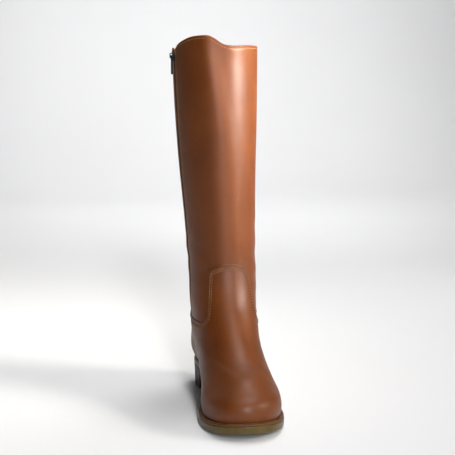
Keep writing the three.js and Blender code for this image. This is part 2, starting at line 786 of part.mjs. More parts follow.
// Slider body with a bail, an arch along the zip that holds the pull's pin
function sliderGeometry() {
  const plate = roundedPlate(SLIDER_WIDTH, SLIDER_LENGTH, SLIDER_THICKNESS);
  const arch = new THREE.Shape();
  const half = BAIL_LENGTH / 2;
  const crown = 0.35 * BAIL_LENGTH;
  arch.moveTo(-half, 0);
  arch.lineTo(-crown, BAIL_HEIGHT);
  arch.lineTo(crown, BAIL_HEIGHT);
  arch.lineTo(half, 0);
  arch.lineTo(half - 1.5 * BAIL_WIRE, 0);
  arch.lineTo(crown - BAIL_WIRE / 2, BAIL_HEIGHT - BAIL_WIRE);
  arch.lineTo(-crown + BAIL_WIRE / 2, BAIL_HEIGHT - BAIL_WIRE);
  arch.lineTo(-half + 1.5 * BAIL_WIRE, 0);
  const bail = new THREE.ExtrudeGeometry(arch, { depth: BAIL_WIDTH, bevelEnabled: false });
  bail.translate(0, 0, -BAIL_WIDTH / 2);
  bail.applyMatrix4(new THREE.Matrix4().makeBasis(
    new THREE.Vector3(0, 1, 0),
    new THREE.Vector3(0, 0, 1),
    new THREE.Vector3(1, 0, 0),
  ));
  bail.translate(0, 0, SLIDER_THICKNESS - 0.1);
  return join(plate, bail);
}

// Pull tab that hangs straight down from its pin; its own origin lies on the pin's axis
function pullGeometry() {
  const eye = new THREE.Path();
  const [w, l] = [PULL_EYE_WIDTH / 2, PULL_EYE_LENGTH];
  const lift = PULL_LENGTH / 2 - PULL_PIN_RADIUS;
  eye.moveTo(-w, lift - PULL_PIN_RADIUS);
  eye.lineTo(w, lift - PULL_PIN_RADIUS);
  eye.lineTo(w, lift - l);
  eye.lineTo(-w, lift - l);
  const tab = roundedPlate(PULL_WIDTH, PULL_LENGTH, PULL_THICKNESS, eye);
  tab.translate(0, -lift, -PULL_THICKNESS / 2);
  const pin = new THREE.CylinderGeometry(PULL_PIN_RADIUS, PULL_PIN_RADIUS, PULL_WIDTH - 1, 12);
  pin.rotateZ(Math.PI / 2);
  return join(tab, pin);
}

// Materials, one for each piece
function leather(color, roughness) {
  return new THREE.MeshStandardMaterial({ color, roughness, metalness: 0 });
}

const TAN_LEATHER = 0x8a4a26;
const WELT_BROWN = 0x9a6638;
const KHAKI_RUBBER = 0x6f6448;
const LINING_TAN = 0xb08a62;
const ZIP_OLIVE = 0x7a6c50;
const GUNMETAL = 0x2c2b2a;

const boot = new THREE.Group();
function add(name, geometry, material) {
  geometry.computeVertexNormals();
  const mesh = new THREE.Mesh(geometry, material);
  mesh.name = name;
  boot.add(mesh);
  return mesh;
}

const slot = zipSlot();
add('outsole', outsoleGeometry(), leather(KHAKI_RUBBER, 0.55));
add('heel_block', heelGeometry(), leather(KHAKI_RUBBER, 0.6));
add('heel_top_lift', heelLiftGeometry(), leather(0x3d3a30, 0.7));
add('welt', weltGeometry(), leather(WELT_BROWN, 0.5));
add('insole', insoleGeometry(), leather(LINING_TAN, 0.7));
add('upper', upperGeometry(slot), leather(TAN_LEATHER, 0.4));
add('shaft', shaftGeometry(slot), leather(TAN_LEATHER, 0.4));
add('zip_tape', zipTapeGeometry(), leather(ZIP_OLIVE, 0.9));
add('zip_teeth', zipTeethGeometry(), leather(ZIP_OLIVE, 0.5));

function gunmetal(roughness) {
  return new THREE.MeshStandardMaterial({ color: GUNMETAL, roughness, metalness: 0.9 });
}

const slider = add('zip_slider', sliderGeometry(), gunmetal(0.35));
slider.position.copy(sliderSeat);
slider.quaternion.setFromRotationMatrix(new THREE.Matrix4().makeBasis(sliderAcross, sliderUp, sliderOut));

const PIN_STANDOFF = SLIDER_THICKNESS - 0.1 + PULL_PIN_RADIUS + PIN_GAP;
const pull = add('zip_pull', pullGeometry(), gunmetal(0.3));
pull.position.copy(sliderSeat).addScaledVector(sliderOut, PIN_STANDOFF);
const upright = new THREE.Vector3(0, 0, 1);
const outward = sliderAcross.clone().cross(upright).normalize();
pull.quaternion.setFromRotationMatrix(new THREE.Matrix4().makeBasis(sliderAcross, upright, outward));

export default boot;
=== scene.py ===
# Knee-high riding boot for the left foot: its looks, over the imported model.
# Lengths are in millimetres here and become metres in each mesh.
# X runs to the outer side of the foot, the toe points along -Y and Z is up.
import math

import bmesh
import bpy
import numpy as np
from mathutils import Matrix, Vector
from mathutils.kdtree import KDTree


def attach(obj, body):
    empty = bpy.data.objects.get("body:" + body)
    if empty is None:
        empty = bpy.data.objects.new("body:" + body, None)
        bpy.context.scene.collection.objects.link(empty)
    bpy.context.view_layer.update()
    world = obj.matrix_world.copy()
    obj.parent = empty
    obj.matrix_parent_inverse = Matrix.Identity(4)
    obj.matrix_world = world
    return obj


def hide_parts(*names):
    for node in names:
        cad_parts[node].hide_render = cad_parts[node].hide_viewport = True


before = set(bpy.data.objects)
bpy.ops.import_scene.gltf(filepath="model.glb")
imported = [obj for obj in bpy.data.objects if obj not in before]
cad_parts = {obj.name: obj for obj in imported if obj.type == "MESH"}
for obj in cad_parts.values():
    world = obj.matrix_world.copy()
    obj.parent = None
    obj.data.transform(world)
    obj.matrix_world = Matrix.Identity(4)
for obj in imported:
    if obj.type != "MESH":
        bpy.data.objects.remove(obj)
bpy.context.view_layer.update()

# Sizes of the foot and the leg
FOOT_LENGTH = 264
BALL_WIDTH = 88
HEEL_BACK = 34
SEAT_HEIGHT = 36
FOREPART_HEIGHT = 11
TOE_SPRING = 8.8
ANKLE_HEIGHT = 168
ANKLE_WIDTH = 84.5
ANKLE_DEPTH = 107.5
ANKLE_CENTRE = 23.3
ANKLE_LEAN = 2
BOOT_HEIGHT = 440
CALF_WIDTH = 103.4
CALF_DEPTH = 133
CALF_CENTRE = 17.5
CALF_LEAN = -6.5
COLLAR_WAVE = 13
TOE_REACH = FOOT_LENGTH - HEEL_BACK

# Walls and soles
GAP = 0.3
UPPER_WALL = 2.4
OVERLAY_WALL = 1.2
SHAFT_WALL = 2.2
SHAFT_OUTER = -(OVERLAY_WALL + GAP)
SHAFT_INNER = SHAFT_OUTER - SHAFT_WALL
LEATHER = 1.3
INSOLE_THICKNESS = 2.7
WELT_THICKNESS = 1.8
WELT_REACH = 4.5
WELT_INNER_REACH = 7
HEEL_REACH = 1.5
WAIST_THICKNESS = 5
HEEL_LIFT = 6
HEEL_BREAST = 30
HEEL_TAPER = 1
HEEL_SLANT = 6

# Zip
ZIP_FORWARD = 27
ZIP_END_HEIGHT = 60
ZIP_OPENING = 6.5
ZIP_TAPE_WIDTH = 25
ZIP_TAPE_END = 10
ZIP_ROUND_ROWS = 0.22
TAPE_OUTER = SHAFT_INNER - 1.7 * GAP
TEETH_INNER = TAPE_OUTER + GAP

# Footprint: half widths as shares of the ball width, every 20 degrees from the toe to the heel
FOOTPRINT_STEP = 20
FOOTPRINT_OUTER = [-0.035, 0.215, 0.395, 0.49, 0.49, 0.405, 0.335, 0.325, 0.2, 0]
FOOTPRINT_INNER = [0.035, 0.285, 0.445, 0.51, 0.43, 0.325, 0.31, 0.33, 0.205, 0]

# Sections of the foot: back and front reach, both rises as shares of the ankle's height, width and
# seat as shares of the ball, egg shape, fullness, share of the footprint and how it follows the sole
FOOT_ROWS = [
    # back, front, back_rise, front_rise, width, seat, egg, full, print, follow
    (1, 1, 0, 0, 1, 1, 0, 1, 1, 1),
    (1.085, 1.006, 0.071, 0.065, 1.045, 1.155, 0, 1, 1, 1),
    (1.13, 0.987, 0.143, 0.131, 1.03, 1.19, 0.02, 0.98, 0.9, 1),
    (1.115, 0.93, 0.214, 0.185, 0.99, 1.19, 0.08, 0.87, 0.52, 1),
    (1.07, 0.848, 0.494, 0.333, 0.886, 1.2, 0.235, 1, 0.12, 0),
    (1.03, 0.748, 0.548, 0.375, 0.884, 1.2, 0.225, 0.97, 0.02, 0),
    (0.97, 0.648, 0.601, 0.435, 0.892, 1.2, 0.21, 0.96, 0, 0),
    (0.91, 0.552, 0.655, 0.518, 0.917, 1.2, 0.18, 0.97, 0, 0),
    (0.88, 0.465, 0.714, 0.619, 0.945, 1.2, 0.14, 0.98, 0, 0),
    (0.868, 0.4, 0.78, 0.732, 0.968, 1.2, 0.1, 0.99, 0, 0),
    (0.868, 0.359, 0.869, 0.863, 0.982, 1.2, 0.06, 1, 0, 0),
]
# Sections of the leg: climb from the ankle to the collar, swell and lean from ankle to calf
SHAFT_ROWS = [
    (0, 0, 0.18), (0.11, 0.08, 0.29), (0.26, 0.27, 0.49), (0.44, 0.54, 0.725), (0.63, 0.8, 0.86),
    (0.82, 0.97, 0.97), (1, 1.02, 1.02),
]
SHAFT_EGG = 0.03
LEAN_START_ROW = 4
SEAT_SHARE = 0.22
WAIST_SHARE = 0.33

# Around the leg: drops of the collar's edge as shares of its wave, then the overlay's seam on both
# sides and the leg's lower edge tucked below it, as shares of the ankle's height
COLLAR_ANGLES = [
    0, 6, 14, 24, 38, 55, 90, 135, 180, 225, 260, 268, 273, 278, 283,
    288, 294, 300, 309, 318, 330, 340, 348, 354,
]
COLLAR_DROPS = [
    0.78, 0.87, 0.92, 0.9, 0.85, 0.82, 0.84, 0.92, 1, 1, 0.95, 0.98, 1.1, 1.25, 1.08,
    0.76, 0.55, 0.4, 0.2, 0.06, 0, 0.03, 0.3, 0.58,
]
SEAM_ANGLES = [0, 10, 23, 33, 39, 43, 45.3, 46.6, 48.2, 51.5, 57, 64, 75, 100, 140, 180]
SEAM_OUTER = [
    1.006, 1.002, 0.984, 0.956, 0.91, 0.85, 0.81, 0.787, 0.76, 0.712, 0.658, 0.62, 0.593, 0.583, 0.605, 0.63,
]
SEAM_INNER = [
    1.006, 1, 0.981, 0.957, 0.918, 0.862, 0.8, 0.745, 0.685, 0.637, 0.608, 0.589, 0.58, 0.577, 0.603, 0.63,
]
SEAM_ROUNDING = 2
TUCK_ANGLES = [0, 30, 50, 70, 110, 180]
TUCK_HEIGHTS = [0.74, 0.68, 0.56, 0.49, 0.5, 0.54]

# Soft folds: angle round the leg, height as a share of the boot, slope in mm for each
# degree, half length in degrees, half width in mm and depth in mm (a trough below the lip above it)
FOLDS = [
    # angle, height, slope, reach, width, depth
    (70, 0.475, -0.10, 26, 8, 0.4),
    (84, 0.40, 0.12, 30, 8, 0.5),
    (66, 0.335, -0.15, 24, 7, 0.6),
    (96, 0.285, 0.10, 30, 7, 0.3),
    (-94, 0.385, 0.05, 26, 9, 0.9),
    (-62, 0.52, 0.10, 30, 8, 0.3),
    (-66, 0.43, -0.10, 34, 7, 0.4),
    (-56, 0.36, 0.12, 28, 7, 0.4),
    (-66, 0.295, -0.08, 24, 6, 0.4),
    (180, 0.33, 0.05, 50, 7, 1.1),
    (176, 0.40, -0.05, 44, 8, 0.9),
    (0, 0.315, 0.02, 26, 8, 0.4),
    (4, 0.262, -0.03, 30, 8, 0.5),
    (83, 0.226, 0.0, 9, 2.5, 1.7),
]
LIP_SHARE = 0.55
LIP_PLACE = 1.7
# The leg's front is pressed in below the collar on the outer side; a slanting ridge bounds the dent
# towards the shin, and the rim above it curls out a little
DENT_DROP = 150
DENT_DEPTH = 5.0
DENT_RIDGE = (-33, 0)
DENT_FLANK = 30
DENT_END = 42
DENT_FADE = 42
DENT_POWER = 1.3
RIM_CURL = 1.6
RIM_CURL_DROP = 14


def smooth(stations, values, at):
    """Cubic curve through a table of stations."""
    xs = np.asarray(stations, float)
    ys = np.asarray(values, float)
    span = np.diff(xs)
    slope = np.diff(ys) / span
    tangent = np.empty_like(ys)
    tangent[0] = slope[0]
    tangent[-1] = slope[-1]
    tangent[1:-1] = (slope[:-1] * span[:-1] + slope[1:] * span[1:]) / (span[:-1] + span[1:])
    i = np.clip(np.searchsorted(xs, at, side="right") - 1, 0, len(xs) - 2)
    t = (at - xs[i]) / span[i]
    rise = (2 * t**3 - 3 * t**2 + 1) * ys[i] + (3 * t**2 - 2 * t**3) * ys[i + 1]
    return rise + (t**3 - 2 * t**2 + t) * span[i] * tangent[i] + (t**3 - t**2) * span[i] * tangent[i + 1]


def smooth_turn(stations, values, angle):
    """The same around a full turn."""
    xs = np.concatenate([np.asarray(stations, float) + turn for turn in (-360, 0, 360)])
    return smooth(xs, np.tile(values, 3), np.mod(angle, 360.0))


def ease(t):
    c = np.clip(t, 0, 1)
    return c * c * (3 - 2 * c)


def mix(a, b, t):
    return a + (b - a) * t


def bell(value, middle, width):
    return np.exp(-(((value - middle) / width) ** 2))


SEAT_END = 0.057 * FOOT_LENGTH
FOREPART_START = 0.455 * FOOT_LENGTH
SPRING_START = 0.568 * FOOT_LENGTH


def feather_height(forward):
    """Height of the feather edge, where the upper meets the sole."""
    drop = ease((forward - SEAT_END) / (FOREPART_START - SEAT_END))
    tip = np.maximum(0, (forward - SPRING_START) / (TOE_REACH - SPRING_START))
    return mix(SEAT_HEIGHT, FOREPART_HEIGHT, drop) + TOE_SPRING * tip**2


COLUMNS = "back front back_rise front_rise half seat egg full print follow lean".split()


def section_table():
    """One column of values for each property of the sections, foot first and leg after it."""
    rows = []
    ball = BALL_WIDTH / 2
    for index, (back, front, back_rise, front_rise, width, seat, *shares) in enumerate(FOOT_ROWS):
        rises = ANKLE_HEIGHT * back_rise, ANKLE_HEIGHT * front_rise
        lean = ANKLE_LEAN * (max(0, index - LEAN_START_ROW) / (len(FOOT_ROWS) - LEAN_START_ROW))
        rows.append((-HEEL_BACK * back, TOE_REACH * front, *rises, ball * width, ball * seat, *shares, lean))
    for climb, swell, lean in SHAFT_ROWS:
        reach = mix(ANKLE_DEPTH, CALF_DEPTH, swell) / 2 - SHAFT_OUTER
        centre = mix(ANKLE_CENTRE, CALF_CENTRE, swell)
        height = mix(ANKLE_HEIGHT, BOOT_HEIGHT, climb)
        half = mix(ANKLE_WIDTH, CALF_WIDTH, swell) / 2 - SHAFT_OUTER
        shares = SHAFT_EGG * (1 - swell), 1, 0, 0, mix(ANKLE_LEAN, CALF_LEAN, lean)
        rows.append((centre - reach, centre + reach, height, height, half, ball, *shares))
    return dict(zip(COLUMNS, np.array(rows, float).T))


SECTIONS = section_table()
ROW_NUMBERS = np.arange(len(SECTIONS["back"]))
TOP_ROW = len(ROW_NUMBERS) - 1
PRINT_ANGLES = np.arange(0, 360, FOOTPRINT_STEP)
PRINT_VALUES = FOOTPRINT_OUTER[:-1] + [-v for v in FOOTPRINT_INNER[:0:-1]]
# Step for slopes in degrees and rows, steps of a search, and a distance that means far away
PROBE = 0.01
HALVINGS = 26
FAR = 99


def section(key, row):
    return smooth(ROW_NUMBERS, SECTIONS[key], row)


def skin(angle, row):
    """A point of the boot's outside; angle 0 is the toe, 90 the outer side and 180 the back."""
    angle, row = np.broadcast_arrays(np.asarray(angle, float), np.asarray(row, float))
    turn = np.radians(angle)
    along = (1 + np.cos(turn)) / 2
    half = section("half", row)
    reach = np.sign(np.sin(turn)) * np.abs(np.sin(turn)) ** section("full", row)
    oval = reach * half * (1 - section("egg", row) * np.cos(turn))
    print_half = mix(section("seat", row), half, ease((along - SEAT_SHARE) / WAIST_SHARE))
    footprint = 2 * print_half * smooth_turn(PRINT_ANGLES, PRINT_VALUES, angle)
    forward = mix(section("back", row), section("front", row), along)
    rise = mix(section("back_rise", row), section("front_rise", row), along)
    drops = -COLLAR_WAVE * np.asarray(COLLAR_DROPS)
    wave = np.maximum(0, row - TOP_ROW + 1) * smooth_turn(COLLAR_ANGLES, drops, angle)
    x = mix(oval, footprint, section("print", row)) + section("lean", row)
    z = section("follow", row) * feather_height(forward) + rise + wave
    return np.stack([x, -forward, z], axis=-1)


def unit(v):
    return v / np.maximum(np.linalg.norm(v, axis=-1, keepdims=True), 1e-9)


def skin_normal(angle, row):
    """Outward direction of the skin, level at the feather edge."""
    angle, row = np.broadcast_arrays(np.asarray(angle, float), np.asarray(row, float))
    sideways = skin(angle + PROBE, row) - skin(angle - PROBE, row)
    up = skin(angle, np.minimum(row + PROBE, TOP_ROW)) - skin(angle, np.maximum(row - PROBE, 0))
    normal = unit(np.cross(sideways, up))
    normal[..., 2] *= np.minimum(1, row)
    return unit(normal)


def signed(angle):
    return np.mod(np.asarray(angle, float) + 180, 360) - 180


def relief(angle, row):
    """How far soft folds push the leather in or out, the same for all its layers."""
    height = skin(angle, row)[..., 2]
    total = np.zeros_like(height)
    for middle, share, slope, reach, width, depth in FOLDS:
        aside = signed(angle - middle)
        level = (height - share * BOOT_HEIGHT - slope * aside) / width
        trough = bell(level, 0, 1) - LIP_SHARE * bell(level, LIP_PLACE, 1)
        total -= depth * trough * bell(aside, 0, reach)
    below = np.maximum(0, skin(angle, TOP_ROW)[..., 2] - height)
    share = np.clip(below / DENT_DROP, 0, 1)
    aside = signed(angle)
    ridge = mix(DENT_RIDGE[0], DENT_RIDGE[1], share)
    dent = ease((aside - ridge) / DENT_FLANK) * (1 - ease((aside - DENT_END) / DENT_FADE))
    total -= DENT_DEPTH * dent * (1 - share) ** DENT_POWER
    return total + RIM_CURL * dent * bell(below, 0, RIM_CURL_DROP)


def wall(angle, row, offset):
    """A point at a distance out of the skin, folds included."""
    angle, row = np.broadcast_arrays(np.asarray(angle, float), np.asarray(row, float))
    out = np.asarray(offset, float) + relief(angle, row)
    return skin(angle, row) + skin_normal(angle, row) * out[..., None]


def find_row(height, angle_of_row):
    """The row where the skin reaches a height, on a line that gives an angle for each row."""
    low = np.zeros(np.shape(height))
    high = np.full(np.shape(height), float(TOP_ROW))
    for _ in range(HALVINGS):
        middle = (low + high) / 2
        below = skin(angle_of_row(middle), middle)[..., 2] < height
        low = np.where(below, middle, low)
        high = np.where(below, high, middle)
    return (low + high) / 2


def row_at(angle, height):
    angle, height = np.broadcast_arrays(np.asarray(angle, float), np.asarray(height, float))
    return find_row(height, lambda row: angle)


def seam_height(angle):
    aside = signed(angle)
    turn = np.minimum(180, np.hypot(aside, SEAM_ROUNDING))
    inner = smooth(SEAM_ANGLES, SEAM_INNER, turn)
    outer = smooth(SEAM_ANGLES, SEAM_OUTER, turn)
    return np.where(aside < 0, inner, outer) * ANKLE_HEIGHT


def tuck_height(angle):
    return smooth(TUCK_ANGLES, TUCK_HEIGHTS, np.abs(signed(angle))) * ANKLE_HEIGHT


def zip_angle(row, forward):
    """The angle at which a row passes a distance forward, on the inner side."""
    back = section("back", row)
    along = np.clip((forward - back) / (section("front", row) - back), 0, 1)
    return -np.degrees(np.arccos(2 * along - 1))


def zip_row(height, forward=ZIP_FORWARD):
    return find_row(height, lambda row: zip_angle(row, forward))


ZIP_END_ROW = float(zip_row(np.array(ZIP_END_HEIGHT)))


def zip_half(row):
    """Half width of the zip's opening, which closes in a round end above the sole."""
    climbed = np.clip((row - ZIP_END_ROW) / ZIP_ROUND_ROWS, 0, 1)
    return ZIP_OPENING / 2 * np.sqrt(1 - (1 - climbed) ** 2)


def around(share, row):
    """Angle at a share of the way round, from the zip's front edge to its back edge."""
    half = zip_half(row)
    start = zip_angle(row, ZIP_FORWARD + half)
    end = zip_angle(row, ZIP_FORWARD - half) + 360
    return mix(start, end, share)


# Meshes
def make_mesh(name, points, faces, material, sharp=45, shade_tone=None):
    """An object from points in millimetres; the optional value for each point is painted shade that its
    material may read.
    """
    mesh = bpy.data.meshes.new(name)
    mesh.from_pydata((np.asarray(points).reshape(-1, 3) * 0.001).tolist(), [], faces)
    mesh.polygons.foreach_set("use_smooth", [True] * len(mesh.polygons))
    if sharp:
        mesh.set_sharp_from_angle(angle=math.radians(sharp))
    if shade_tone is not None:
        attribute = mesh.attributes.new("shade_tone", "FLOAT", "POINT")
        attribute.data.foreach_set("value", np.asarray(shade_tone, np.float32).ravel())
    mesh.materials.append(material)
    piece = bpy.data.objects.new(name, mesh)
    bpy.context.scene.collection.objects.link(piece)
    return piece


def grid_faces(index):
    """Quads over a grid of point numbers."""
    quads = np.stack([index[:-1, :-1], index[:-1, 1:], index[1:, 1:], index[1:, :-1]], axis=-1)
    return quads.reshape(-1, 4)


def shell_piece(name, outer, inner, material, slit_row, shade_tone=None):
    """A wall from its outer and inner points, rows by columns, closed at all its edges.
    The columns go right round; from slit_row upwards the first and last column are the edges of the slit."""
    rows, columns = outer.shape[:2]
    outside = np.arange(rows * columns).reshape(rows, columns)
    outside[:slit_row, -1] = outside[:slit_row, 0]
    inside = outside + rows * columns
    start = max(0, slit_row - 1)
    faces = [
        grid_faces(outside),
        grid_faces(inside[::-1]),
        grid_faces(np.stack([inside[0], outside[0]])),
        grid_faces(np.stack([outside[-1], inside[-1]])),
        grid_faces(np.stack([inside[start:, 0], outside[start:, 0]], axis=1)),
        grid_faces(np.stack([outside[start:, -1], inside[start:, -1]], axis=1)),
    ]
    points = np.concatenate([outer.reshape(-1, 3), inner.reshape(-1, 3)])
    shade_tones = None if shade_tone is None else np.concatenate([shade_tone.ravel(), shade_tone.ravel()])
    quads = [tuple(dict.fromkeys(q)) for q in np.concatenate(faces).tolist()]
    return make_mesh(name, points, [q for q in quads if len(q) > 2], material, shade_tone=shade_tones)


def ring_piece(name, rings, material, closed=False, sharp=35):
    """A body from rings of points, each ring a closed section; the ends are capped unless it is closed."""
    count, size = rings.shape[:2]
    index = np.arange(count * size).reshape(count, size)
    index = np.hstack([index, index[:, :1]])
    if closed:
        index = np.vstack([index, index[:1]])
    faces = grid_faces(index).tolist()
    if not closed:
        faces.append(list(range(size)))
        faces.append(list(range((count - 1) * size, count * size))[::-1])
    piece = make_mesh(name, rings, faces, material, sharp=None)
    clean(piece, sharp)
    return piece


def clean(piece, sharp):
    """Welds doubled points, drops empty faces and turns all faces outward."""
    work = bmesh.new()
    work.from_mesh(piece.data)
    bmesh.ops.remove_doubles(work, verts=work.verts, dist=1e-6)
    bmesh.ops.dissolve_degenerate(work, edges=work.edges, dist=1e-7)
    bmesh.ops.recalc_face_normals(work, faces=work.faces)
    work.to_mesh(piece.data)
    work.free()
    piece.data.set_sharp_from_angle(angle=math.radians(sharp))


def grain_mesh(name, points, material):
    """One mesh of many closed grains; points are ordered by grain, ring and side."""
    count, rings, sides = points.shape[:3]
    index = np.arange(rings * sides).reshape(rings, sides)
    first = np.arange(count)[:, None] * rings * sides
    quads = grid_faces(np.hstack([index, index[:, :1]]))
    faces = (quads[None] + first[..., None]).reshape(-1, 4).tolist()
    for end in (index[0, ::-1], index[-1]):
        faces += (end[None] + first).tolist()
    return make_mesh(name, points, faces, material, sharp=None)


def finish_piece(piece, body, slot, *replaced):
    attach(piece, body)
    if replaced:
        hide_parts(*replaced)
    return piece


# Materials
def new_material(name, roughness, metallic=0.0, specular=0.5, sheen=0.0):
    material = bpy.data.materials.new(name)
    material.use_nodes = True
    shader = material.node_tree.nodes["Principled BSDF"]
    shader.inputs["Roughness"].default_value = roughness
    shader.inputs["Metallic"].default_value = metallic
    shader.inputs["Specular IOR Level"].default_value = specular
    shader.inputs["Sheen Weight"].default_value = sheen
    return material, material.node_tree, shader


def place(tree):
    return tree.nodes.new("ShaderNodeTexCoord").outputs["Object"]


def noise(tree, scale, detail, roughness=0.5):
    node = tree.nodes.new("ShaderNodeTexNoise")
    node.inputs["Scale"].default_value = scale
    node.inputs["Detail"].default_value = detail
    node.inputs["Roughness"].default_value = roughness
    tree.links.new(place(tree), node.inputs["Vector"])
    return node.outputs["Fac"]


def bands(tree, direction, scale, distortion=0.0):
    node = tree.nodes.new("ShaderNodeTexWave")
    node.bands_direction = direction
    node.inputs["Scale"].default_value = scale
    node.inputs["Distortion"].default_value = distortion
    tree.links.new(place(tree), node.inputs["Vector"])
    return node.outputs["Fac"]


def cell_edges(tree, scale):
    node = tree.nodes.new("ShaderNodeTexVoronoi")
    node.feature = "DISTANCE_TO_EDGE"
    node.inputs["Scale"].default_value = scale
    tree.links.new(place(tree), node.inputs["Vector"])
    return node.outputs["Distance"]


def ramp(tree, value, stops):
    node = tree.nodes.new("ShaderNodeValToRGB")
    for _ in range(len(stops) - 2):
        node.color_ramp.elements.new(0.5)
    for element, (position, color) in zip(node.color_ramp.elements, stops):
        element.position = position
        element.color = (*color, 1)
    tree.links.new(value, node.inputs["Fac"])
    return node.outputs["Color"]


def grey(value):
    return (value, value, value)


def math_node(tree, operation, a, b):
    node = tree.nodes.new("ShaderNodeMath")
    node.operation = operation
    for socket, value in zip(node.inputs, (a, b)):
        if isinstance(value, (int, float)):
            socket.default_value = value
        else:
            tree.links.new(value, socket)
    return node.outputs["Value"]


def multiply_color(tree, color, factor_color):
    node = tree.nodes.new("ShaderNodeMix")
    node.data_type = "RGBA"
    node.blend_type = "MULTIPLY"
    node.inputs["Factor"].default_value = 1.0
    tree.links.new(color, node.inputs["A"])
    tree.links.new(factor_color, node.inputs["B"])
    return node.outputs["Result"]


def cloud(tree, scale, detail, dark, light, low=0.3, high=0.7, roughness=0.5):
    """A value or colour that drifts between two."""
    return ramp(tree, noise(tree, scale, detail, roughness), [(low, dark), (high, light)])


def paint(tree, shader, color):
    tree.links.new(color, shader.inputs["Base Color"])


def bump(tree, shader, *layers):
    """Layers are (height, strength, distance in mm), the finest last."""
    normal = None
    for height, strength, distance in layers:
        node = tree.nodes.new("ShaderNodeBump")
        node.inputs["Strength"].default_value = strength
        node.inputs["Distance"].default_value = distance * 0.001
        tree.links.new(height, node.inputs["Height"])
        if normal is not None:
            tree.links.new(normal, node.inputs["Normal"])
        normal = node.outputs["Normal"]
    tree.links.new(normal, shader.inputs["Normal"])


def varied_gloss(tree, shader, scale, detail, smoothest, roughest):
    gloss = cloud(tree, scale, detail, grey(smoothest), grey(roughest))
    tree.links.new(gloss, shader.inputs["Roughness"])


def leather_material(name, dark, light, roughness, grain=1.0, shaded=True):
    """Smooth grained leather: cloudy dye, fine pebbles, and painted shade, darker where the mesh's shade
    value is low.
    """
    material, tree, shader = new_material(name, roughness, specular=0.3)
    mottled = cloud(tree, 210, 5, grey(0.9), grey(1.0), 0.25, 0.75)
    color = multiply_color(tree, cloud(tree, 16, 4, dark, light, roughness=0.55), mottled)
    if shaded:
        # Painted shade: a value on each point of the mesh darkens the colour in grooves, along seams and
        # beside edges.
        shade_tone = tree.nodes.new("ShaderNodeAttribute")
        shade_tone.attribute_name = "shade_tone"
        stops = [(0.0, (0.42, 0.36, 0.32)), (0.5, grey(0.86)), (1.0, grey(1))]
        painted_shade = ramp(tree, shade_tone.outputs["Fac"], stops)
        color = multiply_color(tree, color, painted_shade)
    paint(tree, shader, color)
    varied_gloss(tree, shader, 60, 4, roughness - 0.05, roughness + 0.05)
    pebbles = ramp(tree, cell_edges(tree, 900), [(0.0, grey(0)), (0.35, grey(1))])
    bump(
        tree, shader,
        (noise(tree, 42, 3), 0.25, 0.6),
        (pebbles, 0.3 * grain, 0.1),
        (noise(tree, 2600, 2), 0.2 * grain, 0.06),
    )
    return material


def rubber_material(name, dark, light, roughness, tread=False):
    """Moulded rubber: clouded colour, fine grit, and fine ribs on its underside if it has a tread."""
    material, tree, shader = new_material(name, roughness, specular=0.24)
    color = cloud(tree, 70, 5, dark, light, roughness=0.6)
    specks = cloud(tree, 1500, 2, grey(0.82), grey(1), 0.35, 0.6)
    paint(tree, shader, multiply_color(tree, color, specks))
    varied_gloss(tree, shader, 130, 4, roughness - 0.06, roughness + 0.08)
    layers = [(noise(tree, 900, 3), 0.2, 0.12)]
    if tread:
        facing = tree.nodes.new("ShaderNodeSeparateXYZ")
        tree.links.new(tree.nodes.new("ShaderNodeNewGeometry").outputs["Normal"], facing.inputs["Vector"])
        under = math_node(tree, "LESS_THAN", facing.outputs["Z"], -0.9)
        layers.insert(0, (math_node(tree, "MULTIPLY", bands(tree, "Y", 80), under), 0.9, 0.9))
    bump(tree, shader, *layers)
    return material


def woven_material(name, dark, light, scale=620):
    """Woven tape or coil: two crossed waves of yarns."""
    material, tree, shader = new_material(name, 0.85, specular=0.25, sheen=0.3)
    yarns = math_node(tree, "MULTIPLY", *(bands(tree, way, scale, 0.6) for way in ("Y", "Z")))
    color = ramp(tree, yarns, [(0.0, dark), (0.7, light)])
    soiled = cloud(tree, 90, 3, grey(0.86), grey(1))
    paint(tree, shader, multiply_color(tree, color, soiled))
    bump(tree, shader, (yarns, 0.5, 0.15), (noise(tree, 3000, 2), 0.3, 0.05))
    return material


def thread_material(name, dark, light):
    """Waxed thread with a twist along it."""
    material, tree, shader = new_material(name, 0.6, specular=0.2)
    paint(tree, shader, cloud(tree, 500, 3, dark, light))
    bump(tree, shader, (bands(tree, "DIAGONAL", 900), 0.4, 0.08))
    return material


def metal_material(name, dark, light, roughness):
    """Plated metal with worn, slightly brighter patches and fine scratches."""
    material, tree, shader = new_material(name, roughness, metallic=1.0)
    paint(tree, shader, cloud(tree, 380, 5, dark, light, 0.35, 0.75, 0.6))
    varied_gloss(tree, shader, 700, 4, roughness - 0.1, roughness + 0.12)
    bump(tree, shader, (noise(tree, 1800, 3), 0.15, 0.05))
    return material


TAN = leather_material("tan_leather", (0.097, 0.0235, 0.0034), (0.137, 0.036, 0.006), 0.45)
WELT_TAN = leather_material("welt_leather", (0.075, 0.024, 0.006), (0.15, 0.054, 0.015), 0.5, 1.4, False)
LINING = leather_material("lining_leather", (0.30, 0.17, 0.085), (0.42, 0.26, 0.14), 0.62, 1.2, False)
RUBBER = rubber_material("sole_rubber", (0.07, 0.046, 0.010), (0.11, 0.076, 0.019), 0.36, tread=True)
HEEL_RUBBER = rubber_material("heel_rubber", (0.022, 0.017, 0.010), (0.036, 0.028, 0.016), 0.5)
LIFT_RUBBER = rubber_material("lift_rubber", (0.03, 0.026, 0.02), (0.055, 0.047, 0.034), 0.6, tread=True)
TAPE = woven_material("zip_tape", (0.04, 0.03, 0.016), (0.09, 0.07, 0.04))
TEETH = woven_material("zip_teeth", (0.06, 0.046, 0.024), (0.12, 0.095, 0.05), 1500)
